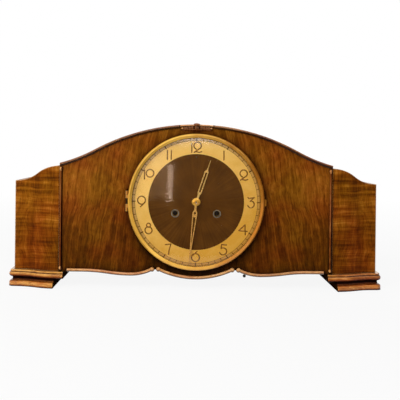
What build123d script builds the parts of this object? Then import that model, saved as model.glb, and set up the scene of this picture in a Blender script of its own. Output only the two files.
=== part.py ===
from build123d import *
import math
import os

os.makedirs("parts", exist_ok=True)

# Front outline of the case, X to the right and Z up from the table
PANEL_HALF = 194.5
CROWN_ROOM = 13.2
CROWN_R = 303.0
FLARE_R = 225.0
FLARE_X = 145.0
WING_W = 67.0
WING_STEP = 4.2
WING_DROP = 22.5
APRON_Z = 14.3
APRON_ROOM = 13.9
CUSP_X = 57.0
CUSP_Z = 28.0
LOBE_X = 92.0
LOBE_Z = 18.6
LOBE_END_X = 160.0

# Depth of the case, the front faces -Y
FRONT_Y = -48.0
PANEL_T = 12.0
BACK_Y = 66.0
BACK_T = 8.0
ROOF_T = 7.0
BASE_Z = 29.0
BASE_T = 7.0
WALL_T = 8.0
WING_SETBACK = 2.0
WING_SWEEP = 14.0

# Foot mouldings
FOOT_H = 23.5
FOOT_BASE_H = 8.0
FOOT_CAP_H = 10.0
FOOT_LIP_H = 2.6
FOOT_LIP_SET = 1.8
FOOT_LIP_ROUND = 1.1
FOOT_REACH = 7.5
COVE_DEPTH = 5.5
FOOT_ROUND = 3.4
FOOT_BASE_ROUND = 3.4
FOOT_CORNER_R = 8.0
FOOT_CAP_LAP = 6.5
FOOT_INSET = 7.5

# Applied bead and crest
BEAD_W = 4.8
BEAD_H = 2.3
BALL_R = 3.4
BEAD_GAP = 4.5
LOBE_STOP = 12.0
SIDE_BEAD_W = 3.6
SIDE_BEAD_H = 1.8
SIDE_BALL_R = 2.6
CREST_HALF = 25.0
CREST_H = 11.0
CREST_T = 4.0
CREST_RISE = 2.0
KNOB_R = 5.5
LEAF_COUNT = 4
LEAF_LEAN = 14.0
LEAF_SHRINK = 0.14

# Dial
DIAL_LAP = 0.2
DIAL_T = 1.0
DIAL_REST = 9.0
CHAPTER_EDGE = 0.5
CHAPTER_W = 23.5
CHAPTER_T = 0.8
PIPE_GAP = 1.0
WIND_X = 29.0
WIND_DROP = 16.0
EYELET_R = 5.5
EYELET_HOLE_R = 4.3
EYELET_WALL = 0.4
EYELET_DEPTH = 2.5
REGULATOR_RISE = 62.0
REGULATOR_R = 1.1

# Bezel and glass
BEZEL_R = 96.8
BEZEL_DEPTH = 12.0
BEZEL_WALL = 2.6
BEZEL_RIM = 6.0
BEZEL_SLOPE = 2.6
BEZEL_LIP = 0.6
GLASS_T = 2.0
GLASS_RISE = 13.2
GLASS_EASE = 0.5
RETAINER_T = 1.2
RETAINER_W = 3.0
BEZEL_GAP = 0.3
KNUCKLE_R = 1.6
KNUCKLE_L = 5.0
KNUCKLE_SPREAD = 12.0
HINGE_PIN_R = 0.8
TAB_REACH = 2.4
TAB_H = 9.8
TAB_T = 3.0

# Hands
HOUR_HAND_SHORT = 5.5
HOUR_HAND_ANGLE = 18.6
HOUR_BAR_W = 5.4
HOUR_SLOT_W = 2.4
HOUR_NECK_W = 3.0
HOUR_NECK_L = 10.6
MINUTE_HAND_SHORT = 1.5
MINUTE_HAND_ANGLE = 186.1
MINUTE_BLADE_W = 6.6
MINUTE_SLOT_W = 3.4
MINUTE_NECK_W = 2.8
MINUTE_NECK_L = 11.0
HAND_SHOULDER = 3.0
HAND_WALL = 1.2
HAND_NEEDLE_W = 1.3
HAND_POINT_W = 0.6
HAND_T = 0.8
HOUR_HAND_GAP = 1.0
MINUTE_HAND_GAP = 0.8
HUB_R = 6.0
HUB_STEP = 0.5
HOUR_PIPE_R = 3.2
CANNON_PIPE_R = 2.1
NUT_R = 3.0
NUT_H = 3.5
NUT_FLANGE_H = 1.4
NUT_ROUND = 0.6
NUT_CUP = 0.4

# Movement plates and arbors
PLATE_HALF = 58.0
PLATE_RISE = 57.0
PLATE_FALL = 47.0
PLATE_T = 2.0
PLATE_SPACE = 42.0
ARBOR_R = 1.2
WIND_ARBOR_R = 3.0
WIND_SQUARE = 3.6
RUNNING = 0.05
END_SHAKE = 0.5
PILLAR_R = 3.0
PILLAR_INSET = 6.0
BRACKET_RISE = 28.0
BRACKET_W = 10.0
BRACKET_T = 2.0
BRACKET_LAP = 16.0
WIND_SHOULDER = 2.0
WIND_SINK = 1.5

# Wheel work
PRESSURE = 25.0
ADDENDUM = 0.8
DEDENDUM = 1.05
BACKLASH = 0.10
GREAT_TEETH = 60
CENTRE_LEAVES = 12
CENTRE_TEETH = 60
THIRD_LEAVES = 10
THIRD_TEETH = 50
ESCAPE_LEAVES = 10
ESCAPE_TEETH = 30
ESCAPE_R = 11.0
ESCAPE_ROOT = 0.84
CANNON_TEETH = 12
MINUTE_TEETH = 36
MINUTE_LEAVES = 10
HOUR_TEETH = 40
PIN_LEAVES = 12
PIN_TEETH = 60
FLY_LEAVES = 10
TRAIN_MODULE = 0.65
FINE_MODULE = 0.6
MOTION_DISTANCE = 18.0
WHEEL_T = 1.5
GREAT_T = 3.0
LEAF_L = 5.0
LEAF_LAP = 1.5
DRUM_R = 21.5
DRUM_L = 26.0
DRUM_WALL = 1.2
DRUM_GAP = 3.0
CENTRE_WHEEL_GAP = 5.5
THIRD_WHEEL_SET = 6.5
ESCAPE_WHEEL_SET = 1.5
MOTION_GAP = 2.0
SPOKE_W = 3.0
WHEEL_RIM = 4.0
WHEEL_HUB_R = 4.0
ESCAPE_RIM = 2.0
ESCAPE_HUB_R = 3.0
THIRD_ANGLE = 125.0
PIN_ANGLE = 75.0
FLY_ANGLE = 120.0
FLY_HALF = 12.0
FLY_L = 20.0
FLY_T = 1.0
FLY_SET = 6.0
LIFT_PIN_R = 0.8
LIFT_PIN_L = 2.0
LIFT_PIN_COUNT = 8

# Pendulum
ANCHOR_RISE = 16.0
ANCHOR_T = 2.5
ANCHOR_HUB_R = 3.2
ANCHOR_ARM = 2.2
ANCHOR_LAP = 0.5
PALLET_GAP = 1.3
PALLET_ANGLE = 40.0
PALLET_W = 3.2
ROD_R = 1.2
ROD_TAIL = 8.0
PENDULUM_L = 100.0
BOB_R = 16.0
BOB_T = 8.0
BOB_EDGE = 1.6
RATING_NUT_R = 4.0
RATING_NUT_H = 3.6
RATING_NUT_GAP = 0.4
SPRING_T = 0.4
SPRING_W = 6.0
SPRING_L = 12.0
SPRING_GRIP = 6.0
SPRING_PLAY = 1.0
SPRING_BLOCK_H = 4.0
SPRING_BLOCK_T = 3.0
PENDULUM_GAP = 10.0
CRUTCH_L = 34.0
CRUTCH_W = 2.4
CRUTCH_T = 1.2
CRUTCH_GAP = 3.2
CRUTCH_PIN_R = 0.8
CRUTCH_PIN_GAP = 0.3
COCK_W = 18.0
COCK_GAP = 3.2
COCK_WALL = 2.0
COCK_ARM_W = 12.0
COCK_ARM_T = 6.0
COCK_ARM_EDGE = 4.0

# Gong and hammers
GONG_INSET = 69.5
GONG_GAP = 24.0
GONG_Z = 60.0
GONG_ROD_R = 1.8
GONG_ROD_L = 220.0
GONG_STEP = 8.0
GONG_COUNT = 3
GONG_BLOCK_W = 25.0
GONG_BLOCK_EDGE = 5.0
GONG_BLOCK_RISE = 8.0
GONG_BLOCK_CHAMFER = 1.5
HAMMER_X = 50.0
HAMMER_FALL = 33.0
HAMMER_REACH = 45.0
HAMMER_R = 3.5
HAMMER_L = 12.0
HAMMER_GAP = 1.0
HAMMER_PIPE_R = 3.0
HAMMER_PIPE_TAIL = 4.0
HAMMER_ARM_T = 2.0
HAMMER_ARM_W = 5.0
HAMMER_ARM_TIP = 3.0
HAMMER_ARM_DROP = 1.5

# Strike and silent lever under the apron
LEVER_X = 72.0
LEVER_PIVOT_Z = 64.0
LEVER_W = 5.0
LEVER_T = 1.5
LEVER_SLOT = 15.0
LEVER_SET = 8.0
LEVER_BOSS_R = 5.0
LEVER_STUD_R = 1.5
LEVER_STUD_END = 1.0
LEVER_GAP = 0.3
LEVER_TAIL = 4.0
LEVER_WIRE_LAP = 2.0
LEVER_PAD_W = 14.0
LEVER_PAD_H = 20.0
LEVER_PAD_ROUND = 3.0
KNOB_Z = 15.7
LEVER_KNOB_R = 2.3

# Back door
DOOR_HALF = 90.0
DOOR_FALL = 73.0
DOOR_RISE = 63.0
DOOR_T = 5.0
DOOR_GAP = 0.5
DOOR_CORNER = 6.0
DOOR_HINGE_R = 2.0
DOOR_HINGE_L = 12.0
DOOR_HINGE_SPREAD = 45.0
DOOR_LEAF_W = 11.0
DOOR_LEAF_T = 1.0
DOOR_HINGE_SET = 1.5
DOOR_HINGE_PLAY = 0.3
DOOR_PIN_R = 0.9
DOOR_KNOB_R = 5.0
DOOR_KNOB_H = 4.0
DOOR_KNOB_INSET = 14.0
DOOR_KNOB_ROUND = 1.4

# Places worked out from the sizes above
panel_back = FRONT_Y + PANEL_T
back_front = BACK_Y - BACK_T
wing_front = FRONT_Y + WING_SETBACK
wing_end = wing_front + WING_SWEEP
wing_x = PANEL_HALF + WING_W
dial_z = APRON_Z + APRON_ROOM + BEZEL_R
top_z = dial_z + BEZEL_R + CROWN_ROOM
bezel_open_r = BEZEL_R - BEZEL_RIM
dial_r = bezel_open_r + DIAL_LAP
dial_hole_r = dial_r - DIAL_REST
chapter_out_r = dial_r - CHAPTER_EDGE
chapter_in_r = chapter_out_r - CHAPTER_W
hour_hand_l = chapter_in_r - HOUR_HAND_SHORT
minute_hand_l = chapter_out_r - MINUTE_HAND_SHORT
gong_x = PANEL_HALF - GONG_INSET
dial_front = FRONT_Y - DIAL_T
chapter_front = dial_front - CHAPTER_T
hour_hand_back = chapter_front - HOUR_HAND_GAP
hour_hand_front = hour_hand_back - HAND_T
minute_hand_back = hour_hand_front - MINUTE_HAND_GAP
minute_hand_front = minute_hand_back - HAND_T
front_plate_back = panel_back + PLATE_T
back_plate_front = front_plate_back + PLATE_SPACE
back_plate_back = back_plate_front + PLATE_T
base_top = BASE_Z + BASE_T
wind_z = dial_z - WIND_DROP
dial_axis = Axis((0, 0, dial_z), (0, 1, 0))
dial_section = Plane.XY.offset(dial_z)


def upright(y):
    """The plane facing the front at depth y, with X across and Z up."""
    return Plane.XZ.offset(-y)


def keep(builder, name):
    """Label a finished piece and write its file."""
    builder.part.label = name
    export_step(builder.part, f"parts/{name}.step")


def crown_z(x):
    """Height of the arch: a round crown that flares out into a hollow sweep."""
    lean = math.asin(FLARE_X / CROWN_R)
    if x <= FLARE_X:
        return top_z - CROWN_R + math.sqrt(CROWN_R**2 - x**2)
    flare_mid_x = (CROWN_R + FLARE_R) * math.sin(lean)
    flare_mid_z = top_z - CROWN_R + (CROWN_R + FLARE_R) * math.cos(lean)
    return flare_mid_z - math.sqrt(FLARE_R**2 - (flare_mid_x - x) ** 2)


def crown_lines(start_x, lower):
    """The right half of the arch from start_x to the panel's corner, lowered by an amount."""
    for a, b in ((start_x, FLARE_X), (FLARE_X, PANEL_HALF)):
        mid = (a + b) / 2
        ThreePointArc((a, crown_z(a) - lower), (mid, crown_z(mid) - lower), (b, crown_z(b) - lower))


def ogee(start, end):
    """Two equal arcs that leave and arrive level, from start to end."""
    run = (end[0] - start[0]) / 2
    rise = (end[1] - start[1]) / 2
    bend = 2 * math.atan2(rise, run)
    radius = run / math.sin(bend)
    along = radius * math.sin(bend / 2)
    up = radius * (1 - math.cos(bend / 2))
    middle = (start[0] + run, start[1] + rise)
    ThreePointArc(start, (start[0] + along, start[1] + up), middle)
    ThreePointArc(middle, (end[0] - along, end[1] - up), end)


def lobe_z(x):
    """Height of the apron's outer lobe between its cusp and its lowest point."""
    fall = CUSP_Z - LOBE_Z
    lobe_r = ((LOBE_X - CUSP_X) ** 2 + fall**2) / (2 * fall)
    return LOBE_Z + lobe_r - math.sqrt(lobe_r**2 - (LOBE_X - x) ** 2)


def lobe_lines(start_x):
    """The right-hand apron lobe from start_x, at or past the cusp, to where it runs level."""
    mid = (start_x + LOBE_X) / 2
    ThreePointArc((start_x, lobe_z(start_x)), (mid, lobe_z(mid)), (LOBE_X, LOBE_Z))
    ogee((LOBE_X, LOBE_Z), (LOBE_END_X, FOOT_H))


def apron_r():
    """Radius of the middle sweep of the apron."""
    rise = CUSP_Z - APRON_Z
    return (CUSP_X**2 + rise**2) / (2 * rise)


def apron_z(x):
    """Height of the middle sweep of the apron."""
    return APRON_Z + apron_r() - math.sqrt(apron_r() ** 2 - x**2)


corner_z = crown_z(PANEL_HALF)
wing_top = corner_z - WING_STEP
wing_low = wing_top - WING_DROP

# Front board with the arched top, the scalloped apron and the round dial opening
with BuildPart() as front_panel:
    with BuildSketch(upright(panel_back)):
        with BuildLine():
            crown_lines(0, 0)
            Line((PANEL_HALF, corner_z), (PANEL_HALF, FOOT_H))
            Line((PANEL_HALF, FOOT_H), (LOBE_END_X, FOOT_H))
            lobe_lines(CUSP_X)
            half_sweep = CUSP_X / 2
            ThreePointArc((CUSP_X, CUSP_Z), (half_sweep, apron_z(half_sweep)), (0, APRON_Z))
            mirror(about=Plane.YZ)
        make_face()
        with Locations((0, dial_z)):
            Circle(dial_hole_r, mode=Mode.SUBTRACT)
    extrude(amount=PANEL_T)
keep(front_panel, "front_panel")

# Bent roof between the front board and the back board
with BuildPart() as roof_board:
    with BuildSketch(upright(back_front)):
        with BuildLine():
            crown_lines(0, 0)
            Line((PANEL_HALF, corner_z), (PANEL_HALF, corner_z - ROOF_T))
            crown_lines(0, ROOF_T)
            mirror(about=Plane.YZ)
        make_face()
    extrude(amount=back_front - panel_back)
keep(roof_board, "roof_board")

# Floor of the case with the slot for the strike and silent lever
lever_y = panel_back + LEVER_SET
with BuildPart() as base_board:
    with BuildSketch(Plane.XY.offset(BASE_Z)):
        with Locations((0, (panel_back + back_front) / 2)):
            Rectangle(2 * PANEL_HALF, back_front - panel_back)
        with Locations((LEVER_X, lever_y)):
            SlotOverall(LEVER_SLOT, 3 * LEVER_T, mode=Mode.SUBTRACT)
    extrude(amount=BASE_T)
keep(base_board, "base_board")


def wing_outline(lower):
    """The sloping top of the right wing, lowered by an amount."""
    ogee((PANEL_HALF, wing_top - lower), (wing_x, wing_low - lower))


# Back board with the whole outline and a framed door opening
door_height = DOOR_FALL + DOOR_RISE
door_mid_z = dial_z - DOOR_FALL + door_height / 2
with BuildPart() as back_board:
    with BuildSketch(upright(BACK_Y)):
        with BuildLine():
            crown_lines(0, 0)
            Line((PANEL_HALF, corner_z), (PANEL_HALF, wing_top))
            wing_outline(0)
            Line((wing_x, wing_low), (wing_x, FOOT_H))
            Line((wing_x, FOOT_H), (0, FOOT_H))
            mirror(about=Plane.YZ)
        make_face()
        with Locations((0, door_mid_z)):
            RectangleRounded(2 * DOOR_HALF, door_height, DOOR_CORNER, mode=Mode.SUBTRACT)
    extrude(amount=BACK_T)
keep(back_board, "back_board")


def wing_plan(inner_x, outer_x, forward, rear_y):
    """Plan lines of a wing or its foot: a serpentine front, pushed forward by an amount."""
    near = wing_front - forward
    far = wing_end - forward
    if inner_x < PANEL_HALF:
        Line((inner_x, near), (PANEL_HALF, near))
    ogee((PANEL_HALF, near), (wing_x, far))
    if outer_x > wing_x:
        Line((wing_x, far), (outer_x, far))
    Polyline((outer_x, far), (outer_x, rear_y), (inner_x, rear_y), (inner_x, near))


# Hollow inside a wing, open to the middle of the case, the back and the foot
with BuildPart() as wing_hollow:
    with BuildSketch(Plane.XY.offset(FOOT_H)):
        with BuildLine():
            wing_plan(PANEL_HALF, wing_x, -WALL_T, back_front)
        make_face()
    extrude(amount=wing_top - FOOT_H)
    with BuildSketch(upright(back_front)):
        with BuildLine():
            wing_outline(WALL_T)
            Line((wing_x, wing_low - WALL_T), (wing_x, FOOT_H))
            Line((wing_x, FOOT_H), (PANEL_HALF, FOOT_H))
            Line((PANEL_HALF, FOOT_H), (PANEL_HALF, wing_top - WALL_T))
        make_face()
        with Locations((wing_x, FOOT_H)):
            Rectangle(2 * WALL_T, 2 * wing_top, mode=Mode.SUBTRACT)
    extrude(amount=back_front - wing_front, mode=Mode.INTERSECT)

# Right wing: serpentine front, sloping top and closed outer end
with BuildPart() as right_wing:
    with BuildSketch(Plane.XY.offset(FOOT_H)):
        with BuildLine():
            wing_plan(PANEL_HALF, wing_x, 0, back_front)
        make_face()
    extrude(amount=wing_top - FOOT_H)
    with BuildSketch(upright(back_front)):
        with BuildLine():
            wing_outline(0)
            Line((wing_x, wing_low), (wing_x, FOOT_H))
            Line((wing_x, FOOT_H), (PANEL_HALF, FOOT_H))
            Line((PANEL_HALF, FOOT_H), (PANEL_HALF, wing_top))
        make_face()
    extrude(amount=back_front - wing_front, mode=Mode.INTERSECT)
    add(wing_hollow.part, mode=Mode.SUBTRACT)
keep(right_wing, "right_wing")

with BuildPart() as left_wing:
    mirror(right_wing.part, about=Plane.YZ)
keep(left_wing, "left_wing")


def moulded(builder, inner_x, radius, level):
    """Round the front and outer edges of a foot at its lowest or highest level."""
    rim = builder.faces().sort_by(Axis.Z)[level].edges()
    rim = rim.filter_by(lambda e: e.center().Y < BACK_Y - RUNNING and e.center().X > inner_x + RUNNING)
    fillet(rim, radius)


# Thin lip between the wing and the foot
cap_inner = PANEL_HALF - FOOT_CAP_LAP
foot_outer = wing_x + FOOT_REACH
lip_reach = FOOT_REACH - FOOT_LIP_SET
with BuildPart() as foot_lip:
    with BuildSketch(Plane.XY.offset(FOOT_H - FOOT_LIP_H)):
        with BuildLine():
            wing_plan(cap_inner, wing_x + lip_reach, lip_reach, BACK_Y)
        make_face()
    extrude(amount=FOOT_LIP_H)
    uprights = foot_lip.edges().filter_by(Axis.Z)
    fillet(uprights.group_by(Axis.X)[-1].sort_by(Axis.Y)[0], FOOT_CORNER_R - FOOT_LIP_SET)
    moulded(foot_lip, cap_inner, FOOT_LIP_ROUND, -1)

# Upper foot moulding, a fat torus under the lip
with BuildPart() as right_foot_cap:
    with BuildSketch(Plane.XY.offset(FOOT_H - FOOT_CAP_H)):
        with BuildLine():
            wing_plan(cap_inner, foot_outer, FOOT_REACH, BACK_Y)
        make_face()
    extrude(amount=FOOT_CAP_H - FOOT_LIP_H)
    uprights = right_foot_cap.edges().filter_by(Axis.Z)
    fillet(uprights.group_by(Axis.X)[-1].sort_by(Axis.Y)[0], FOOT_CORNER_R)
    moulded(right_foot_cap, cap_inner, FOOT_ROUND, 0)
    moulded(right_foot_cap, cap_inner, FOOT_ROUND, -1)
    add(foot_lip.part)
keep(right_foot_cap, "right_foot_cap")

with BuildPart() as left_foot_cap:
    mirror(right_foot_cap.part, about=Plane.YZ)
keep(left_foot_cap, "left_foot_cap")

# Lower foot with the cove cut in under the torus
foot_inner = PANEL_HALF + FOOT_INSET
cove_reach = FOOT_REACH - COVE_DEPTH
with BuildPart() as right_foot:
    with BuildSketch():
        with BuildLine():
            wing_plan(cap_inner, foot_outer, FOOT_REACH, BACK_Y)
        make_face()
        with Locations((foot_inner, 0)):
            Rectangle(4 * PANEL_HALF, 4 * BACK_Y, align=(Align.MAX, Align.CENTER), mode=Mode.SUBTRACT)
    extrude(amount=FOOT_BASE_H)
    uprights = right_foot.edges().filter_by(Axis.Z)
    fillet(uprights.group_by(Axis.X)[-1].sort_by(Axis.Y)[0], FOOT_CORNER_R)
    moulded(right_foot, foot_inner, FOOT_BASE_ROUND, -1)
    with BuildSketch(Plane.XY.offset(FOOT_BASE_H)):
        with BuildLine():
            wing_plan(cap_inner, wing_x + cove_reach, cove_reach, BACK_Y)
        make_face()
        with Locations((foot_inner, 0)):
            Rectangle(4 * PANEL_HALF, 4 * BACK_Y, align=(Align.MAX, Align.CENTER), mode=Mode.SUBTRACT)
    extrude(amount=FOOT_H - FOOT_CAP_H - FOOT_BASE_H)
keep(right_foot, "right_foot")

with BuildPart() as left_foot:
    mirror(right_foot.part, about=Plane.YZ)
keep(left_foot, "left_foot")


def half_round():
    """Lines of the bead's section, standing on the panel and lying inside its edge."""
    Line((0, 0), (BEAD_W, 0))
    ThreePointArc((BEAD_W, 0), (BEAD_W / 2, -BEAD_H), (0, 0))


def bead_section(path, rise):
    """Plane square to the start of a path on the panel, local X going to its inner side.

    rise is 1 where the inside of the panel lies above the path and -1 where it lies below.
    """
    along = path % 0
    inward = Vector(-along.Z, 0, along.X)
    if inward.Z * rise < 0:
        inward = -inward
    return Plane(origin=path @ 0, x_dir=inward, z_dir=inward.cross(Vector(0, 1, 0)))


def ball_end(x, z, radius):
    """A round button at the end of a bead, cut flat by the panel."""
    with Locations((x, FRONT_Y, z)):
        Sphere(radius)
    split(bisect_by=upright(FRONT_Y), keep=Keep.TOP)


# Bead along the arch, in two runs that stop at the crest
with BuildPart() as top_bead:
    with BuildLine(upright(FRONT_Y)) as top_path:
        crown_lines(CREST_HALF, 0)
    with BuildSketch(bead_section(top_path.wire(), -1)):
        with BuildLine():
            half_round()
        make_face()
    sweep(path=top_path.wire())
    mirror(about=Plane.YZ)
keep(top_bead, "top_bead")

# Upright beads at both edges of the panel, with a button at each end
side_low = FOOT_H + BEAD_W
side_high = corner_z - 1.7 * BEAD_W
side_x = PANEL_HALF - SIDE_BALL_R
with BuildPart() as side_beads:
    with BuildSketch(Plane.XY.offset(side_low)):
        with Locations((side_x, FRONT_Y)):
            Ellipse(SIDE_BEAD_W / 2, SIDE_BEAD_H)
            Rectangle(SIDE_BEAD_W, SIDE_BEAD_H, align=(Align.CENTER, Align.MIN), mode=Mode.SUBTRACT)
    extrude(amount=side_high - side_low)
    for z in (side_low, side_high):
        ball_end(side_x, z, SIDE_BALL_R)
    mirror(about=Plane.YZ)
keep(side_beads, "side_beads")

# Bead under the middle sweep of the apron, with a button at each end
sweep_end = CUSP_X - BEAD_GAP
with BuildPart() as apron_bead_centre:
    with BuildLine(upright(FRONT_Y)) as apron_path:
        ThreePointArc((-sweep_end, apron_z(sweep_end)), (0, APRON_Z), (sweep_end, apron_z(sweep_end)))
    with BuildSketch(bead_section(apron_path.wire(), 1)):
        with BuildLine():
            half_round()
        make_face()
    sweep(path=apron_path.wire())
    for side in (-1, 1):
        ball_end(side * sweep_end, apron_z(sweep_end) + BEAD_W / 2, BALL_R)
keep(apron_bead_centre, "apron_bead_centre")

# Beads under the outer lobes of the apron, with a button beside each cusp
lobe_start = CUSP_X + BEAD_GAP
with BuildPart() as apron_bead_sides:
    with BuildLine(upright(FRONT_Y)) as lobe_path:
        lobe_lines(lobe_start)
        Line((LOBE_END_X, FOOT_H), (PANEL_HALF - LOBE_STOP, FOOT_H))
    lobe_wire = lobe_path.wire()
    with BuildSketch(bead_section(lobe_wire, 1)):
        with BuildLine():
            half_round()
        make_face()
    sweep(path=lobe_wire)
    ball_end(lobe_start, lobe_z(lobe_start) + BEAD_W / 2, BALL_R)
    mirror(about=Plane.YZ)
keep(apron_bead_sides, "apron_bead_sides")

# Carved crest: a domed rosette between two sprays of leaves
crest_mid_z = top_z + CREST_RISE - CREST_H / 2
crest_stem = CREST_HALF - BEAD_GAP / 2
leaf_step = (CREST_HALF - KNOB_R) / (LEAF_COUNT + 1)
dome_y = FRONT_Y - 0.9 * CREST_T
knob_y = FRONT_Y - 1.3 * CREST_T
dome_r = (KNOB_R**2 + (dome_y - knob_y) ** 2) / (2 * (dome_y - knob_y))
dome_mid_y = knob_y + dome_r - math.sqrt(dome_r**2 - KNOB_R**2 / 4)
with BuildPart() as crest_ornament:
    with BuildSketch(upright(FRONT_Y)):
        with Locations((0, crest_mid_z - CREST_RISE)):
            Rectangle(2 * crest_stem, CREST_H / 4)
    extrude(amount=CREST_T / 3)
    for leaf in range(LEAF_COUNT):
        leaf_x = KNOB_R + (leaf + 0.6) * leaf_step
        leaf_z = crown_z(leaf_x) - CREST_H / 3
        leaf_turn = math.radians(LEAF_LEAN * (leaf + 1))
        for side in (-1, 1):
            across = (math.cos(leaf_turn), 0, -side * math.sin(leaf_turn))
            leaf_plane = Plane(origin=(side * leaf_x, FRONT_Y, leaf_z), x_dir=across, z_dir=(0, -1, 0))
            with BuildSketch(leaf_plane):
                Ellipse(0.75 * leaf_step, CREST_H / 2 * (1 - LEAF_SHRINK * leaf))
            extrude(amount=CREST_T * (1 - LEAF_SHRINK * (leaf + 1)))
    with BuildSketch(Plane.XY.offset(crest_mid_z)):
        with BuildLine():
            Polyline((0, knob_y), (0, FRONT_Y), (KNOB_R, FRONT_Y), (KNOB_R, dome_y))
            ThreePointArc((KNOB_R, dome_y), (KNOB_R / 2, dome_mid_y), (0, knob_y))
        make_face()
    revolve(axis=Axis((0, 0, crest_mid_z), (0, 1, 0)))
keep(crest_ornament, "crest_ornament")

# Dial plate with holes for the hands, the winding arbors and the regulator
wind_spots = [(-WIND_X, wind_z), (WIND_X, wind_z)]
with BuildPart() as dial_plate:
    with BuildSketch(upright(FRONT_Y)):
        with Locations((0, dial_z)):
            Circle(dial_r)
            Circle(HOUR_PIPE_R + PIPE_GAP, mode=Mode.SUBTRACT)
        with Locations(*wind_spots):
            Circle(EYELET_HOLE_R + EYELET_WALL, mode=Mode.SUBTRACT)
        with Locations((0, dial_z + REGULATOR_RISE)):
            Circle(REGULATOR_R + RUNNING, mode=Mode.SUBTRACT)
    extrude(amount=DIAL_T)
keep(dial_plate, "dial_plate")

# Chapter ring that carries the hours
with BuildPart() as chapter_ring:
    with BuildSketch(upright(dial_front)):
        with Locations((0, dial_z)):
            Circle(chapter_out_r)
            Circle(chapter_in_r, mode=Mode.SUBTRACT)
        with Locations((0, dial_z + REGULATOR_RISE)):
            Circle(REGULATOR_R + RUNNING, mode=Mode.SUBTRACT)
    extrude(amount=CHAPTER_T)
keep(chapter_ring, "chapter_ring")

# Steel eyelets that line the winding holes
with BuildPart() as winding_eyelets:
    with BuildSketch(upright(FRONT_Y + EYELET_DEPTH - DIAL_T)):
        with Locations(*wind_spots):
            Circle(EYELET_HOLE_R + EYELET_WALL)
            Circle(EYELET_HOLE_R, mode=Mode.SUBTRACT)
    extrude(amount=EYELET_DEPTH)
    with BuildSketch(upright(dial_front)):
        with Locations(*wind_spots):
            Circle(EYELET_R)
            Circle(EYELET_HOLE_R, mode=Mode.SUBTRACT)
    extrude(amount=CHAPTER_T)
keep(winding_eyelets, "winding_eyelets")

# Bezel: a deep brass ring with a rounded lip over the glass
bezel_back = FRONT_Y - BEZEL_GAP
bezel_front = FRONT_Y - BEZEL_DEPTH
seat_r = BEZEL_R - BEZEL_WALL
slope_back = bezel_front + BEZEL_SLOPE
lip_back = slope_back + BEZEL_LIP
shoulder_y = bezel_front + BEZEL_DEPTH * 0.45
with BuildPart() as bezel_ring:
    with BuildSketch(dial_section):
        with BuildLine():
            Line((seat_r, bezel_back), (BEZEL_R, bezel_back))
            Line((BEZEL_R, bezel_back), (BEZEL_R, shoulder_y))
            TangentArc((BEZEL_R, shoulder_y), (seat_r, bezel_front), tangent=(0, -1))
            Line((seat_r, bezel_front), (bezel_open_r, slope_back))
            Line((bezel_open_r, slope_back), (bezel_open_r, lip_back))
            Line((bezel_open_r, lip_back), (seat_r, lip_back))
            Line((seat_r, lip_back), (seat_r, bezel_back))
        make_face()
    revolve(axis=dial_axis)
keep(bezel_ring, "bezel_ring")

# Convex glass seated behind the lip
glass_edge = seat_r - 2 * RUNNING
glass_back = lip_back + GLASS_T
glass_dome_r = bezel_open_r - GLASS_EASE
glass_hollow_r = glass_dome_r - GLASS_T / 2
with BuildPart() as bezel_glass:
    with BuildSketch(dial_section):
        with BuildLine():
            Line((glass_edge, glass_back), (glass_edge, lip_back))
            Line((glass_edge, lip_back), (glass_dome_r, lip_back))
            TangentArc((0, lip_back - GLASS_RISE), (glass_dome_r, lip_back), tangent=(1, 0))
            Line((0, lip_back - GLASS_RISE), (0, glass_back - GLASS_RISE))
            TangentArc((0, glass_back - GLASS_RISE), (glass_hollow_r, glass_back), tangent=(1, 0))
            Line((glass_hollow_r, glass_back), (glass_edge, glass_back))
        make_face()
    revolve(axis=dial_axis)
keep(bezel_glass, "bezel_glass")

# Ring that holds the glass in the bezel
with BuildPart() as glass_retainer:
    with BuildSketch(upright(glass_back + RETAINER_T)):
        with Locations((0, dial_z)):
            Circle(glass_edge)
            Circle(glass_edge - RETAINER_W, mode=Mode.SUBTRACT)
    extrude(amount=RETAINER_T)
keep(glass_retainer, "glass_retainer")

# Finger tab opposite the hinge
with BuildPart() as bezel_tab:
    with BuildSketch(upright(shoulder_y + TAB_T)):
        with Locations((BEZEL_R, dial_z)):
            RectangleRounded(2 * TAB_REACH, TAB_H, TAB_REACH * 0.6)
        with Locations((0, dial_z)):
            Circle(BEZEL_R + RUNNING, mode=Mode.SUBTRACT)
    extrude(amount=TAB_T)
keep(bezel_tab, "bezel_tab")

# Hinge at the nine o'clock side: fixed outer knuckles, moving inner ones, one pin
hinge_x = -(BEZEL_R + KNUCKLE_R + BEZEL_GAP)
hinge_y = FRONT_Y - KNUCKLE_R - 2 * BEZEL_GAP
inner_top = KNUCKLE_SPREAD - KNUCKLE_L / 2 - BEZEL_GAP
hinge_foot = Plane.XY.offset(dial_z + KNUCKLE_SPREAD - KNUCKLE_L / 2)
with BuildPart() as bezel_hinge_leaf:
    with BuildSketch(hinge_foot):
        with Locations((hinge_x, hinge_y)):
            Circle(KNUCKLE_R)
        with Locations((hinge_x, FRONT_Y)):
            Rectangle(2 * KNUCKLE_R, FRONT_Y - hinge_y, align=(Align.CENTER, Align.MAX))
        with Locations((hinge_x, hinge_y)):
            Circle(HINGE_PIN_R, mode=Mode.SUBTRACT)
    extrude(amount=KNUCKLE_L)
    mirror(about=Plane.XY.offset(dial_z))
keep(bezel_hinge_leaf, "bezel_hinge_leaf")

with BuildPart() as bezel_hinge_pin:
    with BuildSketch(Plane.XY.offset(dial_z - KNUCKLE_SPREAD - KNUCKLE_L / 2)):
        with Locations((hinge_x, hinge_y)):
            Circle(HINGE_PIN_R)
    extrude(amount=2 * KNUCKLE_SPREAD + KNUCKLE_L)
keep(bezel_hinge_pin, "bezel_hinge_pin")

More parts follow.
